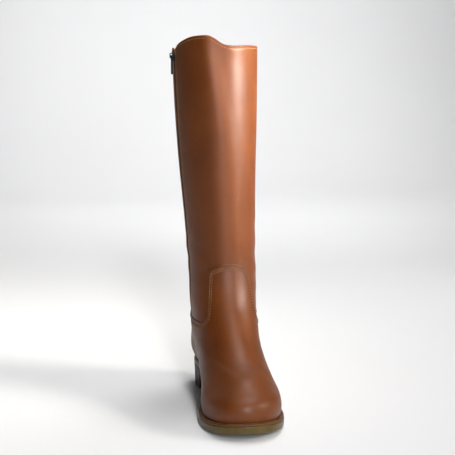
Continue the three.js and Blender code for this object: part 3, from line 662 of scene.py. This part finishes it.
THREAD = thread_material("seam_thread", (0.32, 0.135, 0.05), (0.5, 0.24, 0.10))
# Near-black grains in the needle holes: painted shade of the holes.
PAINTED_HOLE_SHADE = thread_material("painted_hole_shade", (0.008, 0.004, 0.002), (0.02, 0.009, 0.004))
WELT_THREAD = thread_material("welt_thread", (0.14, 0.065, 0.025), (0.25, 0.13, 0.06))
GUNMETAL = metal_material("gunmetal", (0.006, 0.006, 0.0065), (0.022, 0.022, 0.023), 0.36)


# Seams: distance of each row of stitches from its edge, then pitch, length and radius of its threads
VAMP_ROWS = (4.0, 6.6)
ZIP_STITCH = 3.0
COLLAR_STITCH = 2.6
TAPE_STITCH = 4.4
WELT_STITCH = 2.1
VAMP_THREADS = (3.4, 1.7, 0.52)
VAMP_HOLES = (3.4, 1.7, 0.66)
ZIP_THREADS = (2.9, 2.2, 0.32)
COLLAR_THREADS = (3.0, 2.3, 0.3)
TAPE_THREADS = (2.4, 1.9, 0.22)
WELT_THREADS = (3.6, 3.0, 0.5)
VAMP_LEAN = 0.6
VAMP_SINK = 0.12
HOLE_SINK = 0.22
ZIP_SINK = 0.16
COLLAR_SINK = 0.14

# Relief beside edges and seams as (height, place, width), rolled edges as (reach, depth) and painted shade,
# a darker colour beside edges and seams where shade falls, as (amount, reach), all measured from the edge or
# seam
GROOVE_DEPTH = 0.24
VAMP_GROOVE_WIDTH = 0.75
ZIP_GROOVE = (-GROOVE_DEPTH, ZIP_STITCH, 0.7)
COLLAR_GROOVE = (-0.22, COLLAR_STITCH, 0.6)
OVERLAY_SWELL = (0.16, 1.7, 1.1)
COLLAR_SWELL = (0.14, 0, 1.6)
BACK_SWELL = (0.25, 1.6, 1.0)
BACK_GROOVE = (-0.5, 0, 0.5)
OVERLAY_ROLL = (0.9, 0.45)
ZIP_ROLL = (1.3, 0.7)
TUCK_ROWS = 0.12
TUCK_DEPTH = 0.9
VAMP_SHADE = 0.1
ZIP_STITCH_SHADE = (-0.25, ZIP_STITCH, 0.8)
COLLAR_SHADE = (-0.22, COLLAR_STITCH, 0.7)
OVERLAY_SHADE = (0.45, 0.8)
UPPER_ZIP_SHADE = (0.35, 0.8)
SHAFT_ZIP_SHADE = (0.4, 0.8)
FEATHER_SHADE = (0.4, 0.09)
BACK_SHADE = (0.5, 0.7)
BESIDE_OVERLAY_SHADE = (0.45, 1.2)

# Upper: vamp, tongue-shaped front and counter in one overlay; its rows are shares of the way up to a
# band along the seam, then distances below the seam
UPPER_COLUMNS = 520
LOW_SHARES = [0, 0.006, 0.014, 0.028, *np.linspace(0.05, 1, 46)[:-1]]
EDGE_STEPS = [10, 9, 8.2, 7.5, 6.9, 6.3, 5.6, 4.8, 4.1, 3.4, 2.7, 2, 1.4, 0.9, 0.5, 0.2, 0]
# Rows from which the search for a line round the boot starts
TUCK_GUESS = 6
SEAM_GUESS = 8
LEVEL_GUESS = 10


def settle(share, height_of_angle, guess):
    """Rows of a line around the boot on the grid's own columns, from a row near it."""
    row = np.full(share.shape, float(guess))
    for _ in range(12):
        angle = around(share, row)
        row = mix(row, row_at(angle, height_of_angle(angle)), 0.7)
    return row


def seam_line(share):
    row = settle(share, seam_height, SEAM_GUESS)
    return around(share, row), row


def seam_shares(count):
    """Shares of the way round that are evenly spaced along the seam."""
    share = np.linspace(0, 1, 1500)
    steps = np.linalg.norm(np.diff(skin(*seam_line(share)), axis=0), axis=1)
    length = np.concatenate([[0], np.cumsum(steps)])
    return np.interp(np.linspace(0, length[-1], count), length, share)


def spaced(count, *places):
    """Values from 0 to 1, closer together around places given as (middle, reach, gain)."""
    fine = np.linspace(0, 1, 4000)
    density = np.ones_like(fine)
    for middle, reach, gain in places:
        density += gain * bell(fine, middle, reach)
    total = np.concatenate([[0], np.cumsum(density[1:] + density[:-1])])
    return np.interp(np.linspace(0, total[-1], count), total, fine)


def nearest(points, line):
    """Distance of each point from a line of points."""
    tree = KDTree(len(line))
    for i, p in enumerate(line.tolist()):
        tree.insert(p, i)
    tree.balance()
    flat = points.reshape(-1, 3)
    return np.array([tree.find(p)[2] for p in flat.tolist()]).reshape(points.shape[:-1])


def ridge(distance, height, at, width):
    return height * bell(distance, at, width)


def shade(distance, amount, reach):
    return amount * np.exp(-distance / reach)


def from_zip(angle, row):
    """Distance from the nearer edge of the zip's opening, measured forward or back."""
    point = skin(angle, row)
    reach = np.abs(-point[..., 1] - ZIP_FORWARD) - zip_half(row)
    below = np.maximum(0, ZIP_END_HEIGHT - point[..., 2])
    reach = np.where(below > 0, np.hypot(np.maximum(reach, 0), below), reach)
    return np.where(point[..., 0] < 0, np.maximum(reach, 0), FAR)


def edge_roll(distance, reach, depth):
    return -depth * np.clip(1 - distance / reach, 0, 1) ** 2


def build_upper():
    share = seam_shares(UPPER_COLUMNS)
    seam_angle, seam_row = seam_line(share)
    probe = skin(seam_angle, seam_row - 0.05)
    per_row = np.linalg.norm(skin(seam_angle, seam_row) - probe, axis=-1) / 0.05
    band = seam_row - EDGE_STEPS[0] / per_row
    rows = [band * s for s in LOW_SHARES] + [seam_row - step / per_row for step in EDGE_STEPS]
    row = np.array(rows)
    angle = around(share[None, :], row)
    slit = int(np.argmax((row > ZIP_END_ROW)[:, 0]))
    line = wall(seam_angle, seam_row, 0)
    dense = np.concatenate([line[:-1] + (line[1:] - line[:-1]) * t for t in (0, 0.25, 0.5, 0.75)])
    distance = nearest(wall(angle, row, 0), dense)
    zip_distance = from_zip(angle, row)
    offset = edge_roll(distance, *OVERLAY_ROLL) + edge_roll(zip_distance, *ZIP_ROLL)
    offset += ridge(distance, *OVERLAY_SWELL) + ridge(zip_distance, *ZIP_GROOVE)
    # Painted shade: the colour is darkened beside the overlay's edge, the zip's opening and its stitches,
    # along the vamp's stitch rows and at the feather edge, where shade falls.
    shade_tone = 1 - shade(distance, *OVERLAY_SHADE) - shade(zip_distance, *UPPER_ZIP_SHADE)
    shade_tone += ridge(zip_distance, *ZIP_STITCH_SHADE) - shade(row, *FEATHER_SHADE)
    for at in VAMP_ROWS:
        offset -= GROOVE_DEPTH * bell(distance, at, VAMP_GROOVE_WIDTH)
        shade_tone -= VAMP_SHADE * bell(distance, at, 0.8)
    tuck_in = np.clip(1 - row / TUCK_ROWS, 0, 1)
    offset -= TUCK_DEPTH * tuck_in**2
    outer = wall(angle, row, offset)
    outer[..., 2] -= GAP * tuck_in
    inner = wall(angle, row, np.minimum(offset - 0.5, -OVERLAY_WALL))
    piece = shell_piece("upper_leather", outer, inner, TAN, slit, np.clip(shade_tone, 0, 1))
    return finish_piece(piece, "boot", "tan_leather", "upper")


# Leg: one wall from its tucked lower edge to the rolled collar, with a plain seam at the back
SHAFT_COLUMNS = 330
HIDDEN_ROWS = 7
LOW_ROWS = 40
HIGH_ROWS = 60
BACK_SEAM_SHARE = 0.742
BACK_ANGLE = 20
RIM_STEPS = 7
RIM_RADIUS = (SHAFT_WALL - GAP) / 2
ROW_HEIGHT_AT_COLLAR = 49.0
RIM_ROW = TOP_ROW - RIM_RADIUS / ROW_HEIGHT_AT_COLLAR
LEVEL_ABOVE_TONGUE = 1.045 * ANKLE_HEIGHT


def rim_turn(sense):
    """Offsets and lifts around the rolled collar, from one side to the middle of the rim."""
    turn = np.linspace(0, math.pi / 2, RIM_STEPS)
    middle = (SHAFT_OUTER + SHAFT_INNER) / 2
    return middle + sense * RIM_RADIUS * np.cos(turn), RIM_RADIUS * np.sin(turn)


def leg_grid():
    """Angles and rows of the leg: a few rows under the overlay, then up to just below the rim."""
    share = spaced(SHAFT_COLUMNS, (0, 0.02, 3), (1, 0.02, 3), (BACK_SEAM_SHARE, 0.02, 2))
    tuck_row = settle(share, tuck_height, TUCK_GUESS)
    seam_row = settle(share, seam_height, SEAM_GUESS)
    level_row = settle(share, lambda angle: LEVEL_ABOVE_TONGUE, LEVEL_GUESS)
    hidden = mix(tuck_row, seam_row, np.linspace(0, 0.9, HIDDEN_ROWS)[:, None])
    low = mix(mix(tuck_row, seam_row, 0.97), level_row, np.linspace(0, 1, LOW_ROWS)[:, None])
    high = mix(level_row, RIM_ROW, spaced(HIGH_ROWS, (1, 0.03, 5))[1:, None])
    row = np.concatenate([hidden, low, high])
    return around(share[None, :], row), row


def build_shaft():
    angle, row = leg_grid()
    height = skin(angle, row)[..., 2]
    below_rim = skin(angle[-1], row[-1])[..., 2] - height
    zip_distance = from_zip(angle, row)
    aside = skin(angle, row)[..., 0] - section("lean", row)
    back = np.where(np.abs(signed(angle - 180)) < BACK_ANGLE, np.abs(aside), FAR)
    offset = SHAFT_OUTER + edge_roll(zip_distance, *ZIP_ROLL) + ridge(zip_distance, *ZIP_GROOVE)
    offset += ridge(below_rim, *COLLAR_GROOVE) + ridge(below_rim, *COLLAR_SWELL)
    offset += ridge(back, *BACK_SWELL) + ridge(back, *BACK_GROOVE)
    outer = [wall(angle, row, offset)]
    inner = [wall(angle, row, SHAFT_OUTER - LEATHER)]
    outer_offsets, lifts = rim_turn(1)
    inner_offsets, _ = rim_turn(-1)
    for k in range(1, RIM_STEPS):
        rise = np.array([0, 0, lifts[k]])
        outer.append((wall(angle[-1], row[-1], outer_offsets[k]) + rise)[None])
        inner.append((wall(angle[-1], row[-1], inner_offsets[k]) + rise)[None])
    inner[0][-1] = wall(angle[-1], row[-1], inner_offsets[0])
    edge_angle, edge_row = seam_line(np.linspace(0, 1, 2500))
    overlay = nearest(wall(angle, row, 0), wall(edge_angle, edge_row, 0))
    # Painted shade: the colour is darkened beside the zip and along its stitches, along the collar's
    # stitches, at the back seam and beside the overlay's edge, where shade falls.
    shade_tone = 1 - shade(zip_distance, *SHAFT_ZIP_SHADE) + ridge(below_rim, *COLLAR_SHADE)
    shade_tone += ridge(zip_distance, *ZIP_STITCH_SHADE) - shade(back, *BACK_SHADE)
    shade_tone -= shade(overlay, *BESIDE_OVERLAY_SHADE)
    shade_tone = np.concatenate([shade_tone, np.repeat(shade_tone[-1:], RIM_STEPS - 1, axis=0)])
    outer = np.concatenate(outer)
    inner = np.concatenate(inner)
    piece = shell_piece("shaft_leather", outer, inner, TAN, 0, np.clip(shade_tone, 0, 1))
    return finish_piece(piece, "boot", "tan_leather", "shaft")


# Lining: one soft skin inside leg and foot, down to the insole
LINING_COLUMNS = 200
LINING_TOP_ROW = TOP_ROW - 0.1
LINING_STEP_ROWS = 0.3
LINING_GAP = 0.05


def build_lining():
    share = np.linspace(0, 1, LINING_COLUMNS)
    tuck_row = settle(share, tuck_height, TUCK_GUESS)
    steps = np.concatenate([np.linspace(0.03, 0.5, 36), np.linspace(0.52, 1, 50)])
    row = LINING_TOP_ROW * steps[:, None] * np.ones_like(share)
    angle = around(share[None, :], row)
    leg = ease((row - tuck_row) / LINING_STEP_ROWS + 1)
    outer = wall(angle, row, mix(0, SHAFT_OUTER, leg) - LEATHER - LINING_GAP)
    inner = wall(angle, row, mix(-UPPER_WALL, SHAFT_INNER, leg))
    slit = int(np.argmax((row > ZIP_END_ROW)[:, 0]))
    piece = shell_piece("lining", outer, inner, LINING, slit)
    return finish_piece(piece, "boot", "lining_leather")


# Stitches: rows of short sunken threads, joined in one mesh for each seam
THREAD_RINGS = 5
THREAD_SIDES = 6
ZIP_SEAM_ROW = ZIP_END_ROW + 0.12
ZIP_SEAM_DROP = 1.6
COLLAR_SEAM_ROW = TOP_ROW - 0.06


def resample(points, normals, pitch, phase):
    """Places, directions and normals of the stitches along a path."""
    lengths = np.concatenate([[0], np.cumsum(np.linalg.norm(np.diff(points, axis=0), axis=1))])
    count = max(1, int(lengths[-1] / pitch))
    at = (np.arange(count) + phase) * lengths[-1] / count

    def read(values, at):
        return np.stack([np.interp(at, lengths, values[:, k]) for k in range(3)], axis=-1)

    return read(points, at), unit(read(points, at + 0.5) - read(points, at - 0.5)), unit(read(normals, at))


def stitch_piece(name, paths, threads, material, lean=0.0, phase=0.5):
    """All stitches of a seam: each a bent grain of thread with its ends in the leather."""
    pitch, length, radius = threads
    t = np.linspace(-1, 1, THREAD_RINGS)
    swell = radius * np.sqrt(np.maximum(0.08, 1 - t**4))
    dip = radius * (0.35 - 1.3 * t**4)
    turn = np.linspace(0, 2 * math.pi, THREAD_SIDES, endpoint=False)
    local = np.zeros((THREAD_RINGS, THREAD_SIDES, 3))
    local[..., 0] = (t * length / 2)[:, None]
    local[..., 1] = swell[:, None] * np.cos(turn)
    local[..., 2] = swell[:, None] * np.sin(turn) + dip[:, None]
    local[..., 1] += lean * local[..., 0]
    points = []
    for path, normals in paths:
        middle, along, up = resample(path, normals, pitch, phase)
        side = unit(np.cross(up, along))
        grains = middle[:, None, None] + local[None, ..., :1] * along[:, None, None]
        grains = grains + local[None, ..., 1:2] * side[:, None, None]
        grains = grains + local[None, ..., 2:] * up[:, None, None]
        points.append(grains)
    piece = grain_mesh(name, np.concatenate(points), material)
    return finish_piece(piece, "boot", "tan_leather")


def shifted(angle, row, distance):
    """A line on the skin moved down by a distance, square to itself, in small steps."""
    steps = 4
    for _ in range(steps):
        point = skin(angle, row)
        around_mm = (skin(angle + 0.05, row) - skin(angle - 0.05, row)) / 0.1
        up_mm = (skin(angle, row + 0.01) - skin(angle, row - 0.01)) / 0.02
        along = np.gradient(point, axis=0)
        aside = -unit(np.cross(skin_normal(angle, row), along)) * distance / steps
        a = np.sum(around_mm * around_mm, axis=-1)
        b = np.sum(around_mm * up_mm, axis=-1)
        c = np.sum(up_mm * up_mm, axis=-1)
        p = np.sum(around_mm * aside, axis=-1)
        q = np.sum(up_mm * aside, axis=-1)
        det = a * c - b * b
        angle = angle + (p * c - q * b) / det
        row = row + (a * q - b * p) / det
    return angle, row


def path_on(angle, row, offset):
    return wall(angle, row, offset), skin_normal(angle, row)


def vamp_stitches():
    seam_angle, seam_row = seam_line(np.linspace(0.012, 0.988, 900))
    rows = (("outer", VAMP_ROWS[0], 0.3, VAMP_LEAN), ("inner", VAMP_ROWS[1], 0.8, -VAMP_LEAN))
    for name, at, phase, lean in rows:
        line = shifted(seam_angle, seam_row, at)
        path = path_on(*line, -VAMP_SINK)
        stitch_piece("vamp_stitches_" + name, [path], VAMP_THREADS, THREAD, lean, phase)
        # Dark grains between the stitches are painted shade in the needle holes.
        path = path_on(*line, -HOLE_SINK)
        stitch_piece("vamp_hole_shades_" + name, [path], VAMP_HOLES, PAINTED_HOLE_SHADE, lean, (phase + 0.5) % 1)


def zip_stitches():
    """Both sides of the zip, split where they climb from the leg onto the overlay, and a round end."""
    paths = []
    for sense in (1, -1):
        row = np.linspace(ZIP_SEAM_ROW, COLLAR_SEAM_ROW, 700)
        angle = zip_angle(row, ZIP_FORWARD + sense * (zip_half(row) + ZIP_STITCH))
        on_overlay = row < row_at(angle, seam_height(angle))
        line, normal = path_on(angle, row, np.where(on_overlay, 0, SHAFT_OUTER) - ZIP_SINK)
        step = int(np.argmin(on_overlay))
        paths += [(line[:step], normal[:step]), (line[step:], normal[step:])]
    turn = np.linspace(0, math.pi, 24)
    low_height = skin(zip_angle(np.array(ZIP_SEAM_ROW), ZIP_FORWARD), ZIP_SEAM_ROW)[2]
    forward = ZIP_FORWARD + (ZIP_OPENING / 2 + ZIP_STITCH) * np.cos(turn)
    height = low_height - (ZIP_STITCH + ZIP_SEAM_DROP) * np.sin(turn)
    row = np.array([float(zip_row(np.array(h), f)) for h, f in zip(height, forward)])
    paths.append(path_on(zip_angle(row, forward), row, -ZIP_SINK))
    stitch_piece("zip_stitches", paths, ZIP_THREADS, THREAD)


def collar_stitches():
    share = np.linspace(0.02, 0.98, 900)
    angle = around(share, np.full(share.shape, COLLAR_SEAM_ROW))
    rim_height = skin(angle, np.full(share.shape, RIM_ROW))[:, 2]
    row = row_at(angle, rim_height - COLLAR_STITCH)
    stitch_piece("collar_stitches", [path_on(angle, row, SHAFT_OUTER - COLLAR_SINK)], COLLAR_THREADS, THREAD)


# Sole pieces
SLAB_STATIONS = 110
HEEL_STATIONS = 70
SLAB_COLUMNS = 24
SLAB_CREASE = 40


def sole_point(angle, share, inset):
    """A footprint point moved square to the outline, on the floor's plane."""
    forward = -skin(angle, 0)[..., 1]
    spread = ease((forward - HEEL_BREAST) / (FOREPART_START - HEEL_BREAST))
    out = share * mix(HEEL_REACH, WELT_REACH, spread) - inset
    point = skin(angle, 0) + skin_normal(angle, 0) * out[..., None]
    point[..., 2] = 0
    return point


def sole_angle(forward):
    return math.degrees(math.acos(2 * (forward + HEEL_BACK) / FOOT_LENGTH - 1))


def above(base, rise):
    return lambda forward: base(forward) + rise


welt_bottom = above(feather_height, -GAP - WELT_THICKNESS)
outsole_top = above(welt_bottom, -GAP)


def outsole_bottom(forward):
    share = ease((forward - SEAT_END) / (FOREPART_START - SEAT_END))
    full = FOREPART_HEIGHT - WELT_THICKNESS - 2 * GAP
    return outsole_top(forward) - mix(WAIST_THICKNESS, full, share)


def slab_piece(name, levels, material, stations=SLAB_STATIONS):
    """A slab of the sole; levels are (reach, inset, height, end) from the lowest rim to the highest.
    A height is a number, or a function of how far forward a point lies."""
    progress = np.linspace(0, 1, stations + 1)
    sections = []

    def rim(level, side):
        reach, inset, height, end = level
        angle = 180 + (sole_angle(end) - 180) * progress if end is not None else 180 * (1 - progress)
        point = sole_point(side * angle, np.full(angle.shape, float(reach)), inset)
        return point, height

    def raised(point, height):
        lifted = point.copy()
        lifted[..., 2] = height(-point[..., 1]) if callable(height) else height
        return lifted

    def span(level, first, last):
        start, height = rim(level, first)
        finish, _ = rim(level, last)
        for t in np.linspace(0, 1, SLAB_COLUMNS + 1):
            sections.append(raised(mix(start, finish, t), height))

    span(levels[0], -1, 1)
    for level in levels[1:-1]:
        sections.append(raised(*rim(level, 1)))
    span(levels[-1], 1, -1)
    for level in levels[1:-1][::-1]:
        sections.append(raised(*rim(level, -1)))
    return ring_piece(name, np.stack(sections, axis=1), material, sharp=SLAB_CREASE)


def build_soles():
    levels = [(1, inset, above(outsole_bottom, rise), None) for inset, rise in (
        (1.3, 0), (0.75, 0.1), (0.3, 0.45), (0.05, 1.0), (0, 1.8))]
    levels += [(1, inset, above(outsole_top, -drop), None) for inset, drop in (
        (-0.25, 2.6), (-0.3, 1.3), (-0.1, 0.55), (0.3, 0.12), (0.9, 0))]
    outsole = slab_piece("outsole_rubber", levels, RUBBER)
    finish_piece(outsole, "boot", "sole_rubber", "outsole")

    wide = UPPER_WALL + 1.5 * GAP
    levels = [
        (0, WELT_INNER_REACH + GAP, welt_bottom, None),
        (0, WELT_INNER_REACH + GAP, feather_height, None),
        (0, wide, feather_height, None),
        (0, wide, above(feather_height, INSOLE_THICKNESS - 0.8), None),
        (0, wide + 0.3, above(feather_height, INSOLE_THICKNESS - 0.2), None),
        (0, wide + 1.1, above(feather_height, INSOLE_THICKNESS), None),
    ]
    insole = slab_piece("insole_leather", levels, LINING)
    finish_piece(insole, "boot", "lining_leather", "insole")

    foot = HEEL_LIFT + GAP
    end = HEEL_BREAST
    levels = [
        (1, HEEL_TAPER + 0.4, foot, end - HEEL_SLANT - 0.4),
        (1, HEEL_TAPER, foot + 0.5, end - HEEL_SLANT),
        (1, HEEL_TAPER / 2, (foot + SEAT_HEIGHT) / 2, end - HEEL_SLANT / 2),
        (1, 0.1, above(outsole_bottom, -GAP - 0.6), end - 0.1),
        (1, 0.5, above(outsole_bottom, -GAP), end - 0.5),
    ]
    heel = slab_piece("heel_rubber", levels, HEEL_RUBBER, HEEL_STATIONS)
    finish_piece(heel, "boot", "sole_rubber", "heel_block")
    lift_end = end - HEEL_SLANT
    levels = [(1, HEEL_TAPER + inset, z, lift_end - inset) for inset, z in (
        (0.8, 0), (0.25, 0.25), (0, 0.8), (0, HEEL_LIFT - 0.4), (0.3, HEEL_LIFT))]
    lift = slab_piece("heel_lift_rubber", levels, LIFT_RUBBER, HEEL_STATIONS)
    finish_piece(lift, "boot", "lift_rubber", "heel_top_lift")


# Section of the welt: share of its reach, inset, and height where its thickness counts as 2.7
WELT_SECTION_HEIGHT = 2.7
WELT_SECTION = [
    (1, 0.5, 0), (1, 0.12, 0.25), (1, 0, 0.8), (1, 0, 1.7), (1, 0.15, 2.3), (1, 0.5, 2.62),
    (1, 1.1, 2.7), (1, 1.7, 2.62), (1, WELT_STITCH, 2.48), (1, 2.5, 2.62), (1, 3.2, 2.72),
    (0, 0.2, 2.7), (0, WELT_INNER_REACH, 2.7), (0, WELT_INNER_REACH, 0),
]
WELT_SEAM_END = 118
WELT_SEAM_RISE = 2.5


def build_welt():
    angle = np.linspace(0, 360, 480, endpoint=False)
    rings = []
    for reach, inset, rise in WELT_SECTION:
        point = sole_point(angle, np.full(angle.shape, float(reach)), inset)
        point[..., 2] = welt_bottom(-point[..., 1]) + rise * WELT_THICKNESS / WELT_SECTION_HEIGHT
        rings.append(point)
    welt = ring_piece("welt_strip", np.stack(rings, axis=1), WELT_TAN, closed=True)
    finish_piece(welt, "boot", "welt_leather", "welt")
    angle = np.linspace(-WELT_SEAM_END, WELT_SEAM_END, 1200)
    point = sole_point(angle, np.ones(angle.shape), WELT_STITCH)
    point[..., 2] = welt_bottom(-point[..., 1]) + WELT_SEAM_RISE
    normals = np.tile([0.0, 0.0, 1.0], (len(point), 1))
    stitch_piece("welt_stitches", [(point, normals)], WELT_THREADS, WELT_THREAD)


# Zip: woven tape, two rows of teeth that mesh in the middle, and the tape's own seams
TAPE_THICKNESS = 0.8
TOOTH_PITCH = 1.9
TOOTH_REACH = 2.4
TOOTH_OVERLAP = 0.75
TOOTH_RADII = (0.35, 0.62, 0.68, 0.66, 0.66, 0.74, 0.4)
TOOTH_SIDES = 8
TOOTH_OVAL = 1.15


def build_zip():
    rim_height = skin(zip_angle(TOP_ROW, ZIP_FORWARD), TOP_ROW)[2]
    height = np.linspace(ZIP_END_HEIGHT - ZIP_TAPE_END, rim_height - 2, 240)
    row = zip_row(height)
    half = ZIP_TAPE_WIDTH / 2
    across = np.linspace(-half, half, 17)
    angles = [zip_angle(row, ZIP_FORWARD + s) for s in across]
    outer = [wall(angle, row, TAPE_OUTER) for angle in angles]
    inner = [wall(angle, row, TAPE_OUTER - TAPE_THICKNESS) for angle in angles[::-1]]
    tape = ring_piece("zip_tape_woven", np.stack(outer + inner, axis=1), TAPE)
    finish_piece(tape, "boot", "zip_fabric", "zip_tape")

    low = ZIP_END_HEIGHT + 1.2
    count = int((height[-1] - 1.5 - low) / TOOTH_PITCH)
    side = np.tile([-1, 1], count)
    rows = zip_row(low + (np.repeat(np.arange(count), 2) + np.where(side > 0, 0.5, 0)) * TOOTH_PITCH)
    start = wall(zip_angle(rows, ZIP_FORWARD + side * TOOTH_REACH), rows, TEETH_INNER + 0.75)
    end = wall(zip_angle(rows, ZIP_FORWARD - side * TOOTH_OVERLAP), rows, TEETH_INNER + 1.0)
    out = skin_normal(zip_angle(rows, ZIP_FORWARD), rows)
    along = end - start
    up = unit(np.cross(out, along))
    t = np.linspace(0, 1, len(TOOTH_RADII))
    radius = np.array(TOOTH_RADII)[:, None]
    turn = np.linspace(0, 2 * math.pi, TOOTH_SIDES, endpoint=False)
    points = start[:, None, None] + along[:, None, None] * t[None, :, None, None]
    points = points + up[:, None, None] * (radius * np.cos(turn))[None, ..., None]
    points = points + out[:, None, None] * (TOOTH_OVAL * radius * np.sin(turn))[None, ..., None]
    teeth = grain_mesh("zip_coil", points, TEETH)
    finish_piece(teeth, "boot", "zip_teeth", "zip_teeth")

    row = zip_row(np.linspace(height[0] + 3, height[-1] - 2, 600))
    angles = [zip_angle(row, ZIP_FORWARD + side * TAPE_STITCH) for side in (-1, 1)]
    seams = [path_on(angle, row, TAPE_OUTER + 0.05) for angle in angles]
    stitch_piece("tape_stitches", seams, TAPE_THREADS, TEETH)


def build_metal():
    for node in ("zip_slider", "zip_pull"):
        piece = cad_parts[node]
        piece.data.materials.clear()
        piece.data.materials.append(GUNMETAL)


# Camera, floor and lights
CAMERA_DISTANCE = 1300
CAMERA_HEIGHT = 381.7
CAMERA_PITCH = 7.83
CAMERA_YAW = 7.56
CAMERA_ASIDE = 47.6
FOCAL_PIXELS = 1031
FRAME_PIXELS = 455
SENSOR_WIDTH = 36
PAN = 2.64
WORLD_LIGHT = 0.01
# Area lights: place and target in metres, width, height, watts, spread in degrees, colour
LIGHTS = [
    ("key", (1.0, -0.45, 0.75), (0, 0, 0.35), 1.4, 0.4, 4, 180, (1.0, 0.97, 0.92)),
    ("gloss", (1.18, -0.56, 0.76), (0, 0, 0.57), 0.8, 0.38, 11, 45, (1.0, 0.96, 0.88)),
    ("toe", (0.12, -0.75, 2.0), (0.0, -0.2, 0.05), 0.25, 0.25, 0.45, 40, (1, 1, 1)),
    ("front_strip", (0.0, -2.1, 0.9), (0, 0, 0.25), 0.22, 1.2, 37, 180, (0.96, 0.98, 1.0)),
    ("backdrop", (0.4, 1.3, 2.0), (0.4, 2.8, 0.25), 2.2, 0.6, 21, 109, (1, 1, 1)),
    ("top", (0.45, 0.55, 2.3), (0.12, 0.3, 0), 0.6, 1.2, 3.7, 60, (1, 1, 1)),
    ("far_floor", (0.2, 1.2, 2.0), (0.2, 1.2, 0), 1.5, 1.4, 4.0, 60, (1, 1, 1)),
]


def build_camera():
    yaw = math.radians(CAMERA_YAW)
    x = -CAMERA_ASIDE * math.cos(yaw) - CAMERA_DISTANCE * math.sin(yaw)
    forward = -CAMERA_ASIDE * math.sin(yaw) + CAMERA_DISTANCE * math.cos(yaw)
    data = bpy.data.cameras.new("camera")
    data.sensor_width = SENSOR_WIDTH
    data.lens = SENSOR_WIDTH * FOCAL_PIXELS / FRAME_PIXELS
    camera = bpy.data.objects.new("camera", data)
    bpy.context.scene.collection.objects.link(camera)
    heading = yaw + math.radians(PAN)
    pitch = math.radians(CAMERA_PITCH)
    level = math.cos(pitch)
    look = Vector((math.sin(heading) * level, math.cos(heading) * level, -math.sin(pitch)))
    camera.location = Vector((x, -forward, CAMERA_HEIGHT)) * 0.001
    camera.rotation_mode = "QUATERNION"
    camera.rotation_quaternion = look.to_track_quat("-Z", "Y")
    data.clip_start = 0.05
    data.clip_end = 50
    bpy.context.scene.camera = camera


def build_floor():
    material, tree, shader = new_material("pale_floor", 0.65, specular=0.25)
    paint(tree, shader, cloud(tree, 2.0, 2, (0.79, 0.79, 0.795), (0.81, 0.81, 0.815)))
    bump(tree, shader, (noise(tree, 300, 2), 0.02, 0.1))
    reach, back, rise, bend = 6000, 2200, 4000, 900
    profile = [(-reach, 0)]
    for t in np.linspace(0, math.pi / 2, 17):
        profile.append((back + bend * math.sin(t), bend * (1 - math.cos(t))))
    profile.append((back + bend, rise))
    points = [[side * reach, y, z] for y, z in profile for side in (-1, 1)]
    faces = [(2 * i, 2 * i + 1, 2 * i + 3, 2 * i + 2) for i in range(len(profile) - 1)]
    floor = make_mesh("floor", points, faces, material, sharp=None)


def area_light(name, stand, target, width, height, watts, spread, color):
    data = bpy.data.lights.new(name, "AREA")
    data.shape = "RECTANGLE"
    data.size = width
    data.size_y = height
    data.energy = watts
    data.spread = math.radians(spread)
    data.color = color
    light = bpy.data.objects.new(name, data)
    bpy.context.scene.collection.objects.link(light)
    light.location = stand
    light.rotation_mode = "QUATERNION"
    light.rotation_quaternion = (Vector(target) - Vector(stand)).to_track_quat("-Z", "Y")


def build_light():
    bpy.context.scene.view_settings.view_transform = "Standard"
    world = bpy.data.worlds.new("studio")
    bpy.context.scene.world = world
    world.use_nodes = True
    background = world.node_tree.nodes["Background"]
    background.inputs["Color"].default_value = (0.95, 0.97, 1.0, 1)
    background.inputs["Strength"].default_value = WORLD_LIGHT
    for values in LIGHTS:
        area_light(*values)


build_upper()
build_shaft()
build_lining()
vamp_stitches()
zip_stitches()
collar_stitches()
build_soles()
build_welt()
build_zip()
build_metal()
build_camera()
build_floor()
build_light()
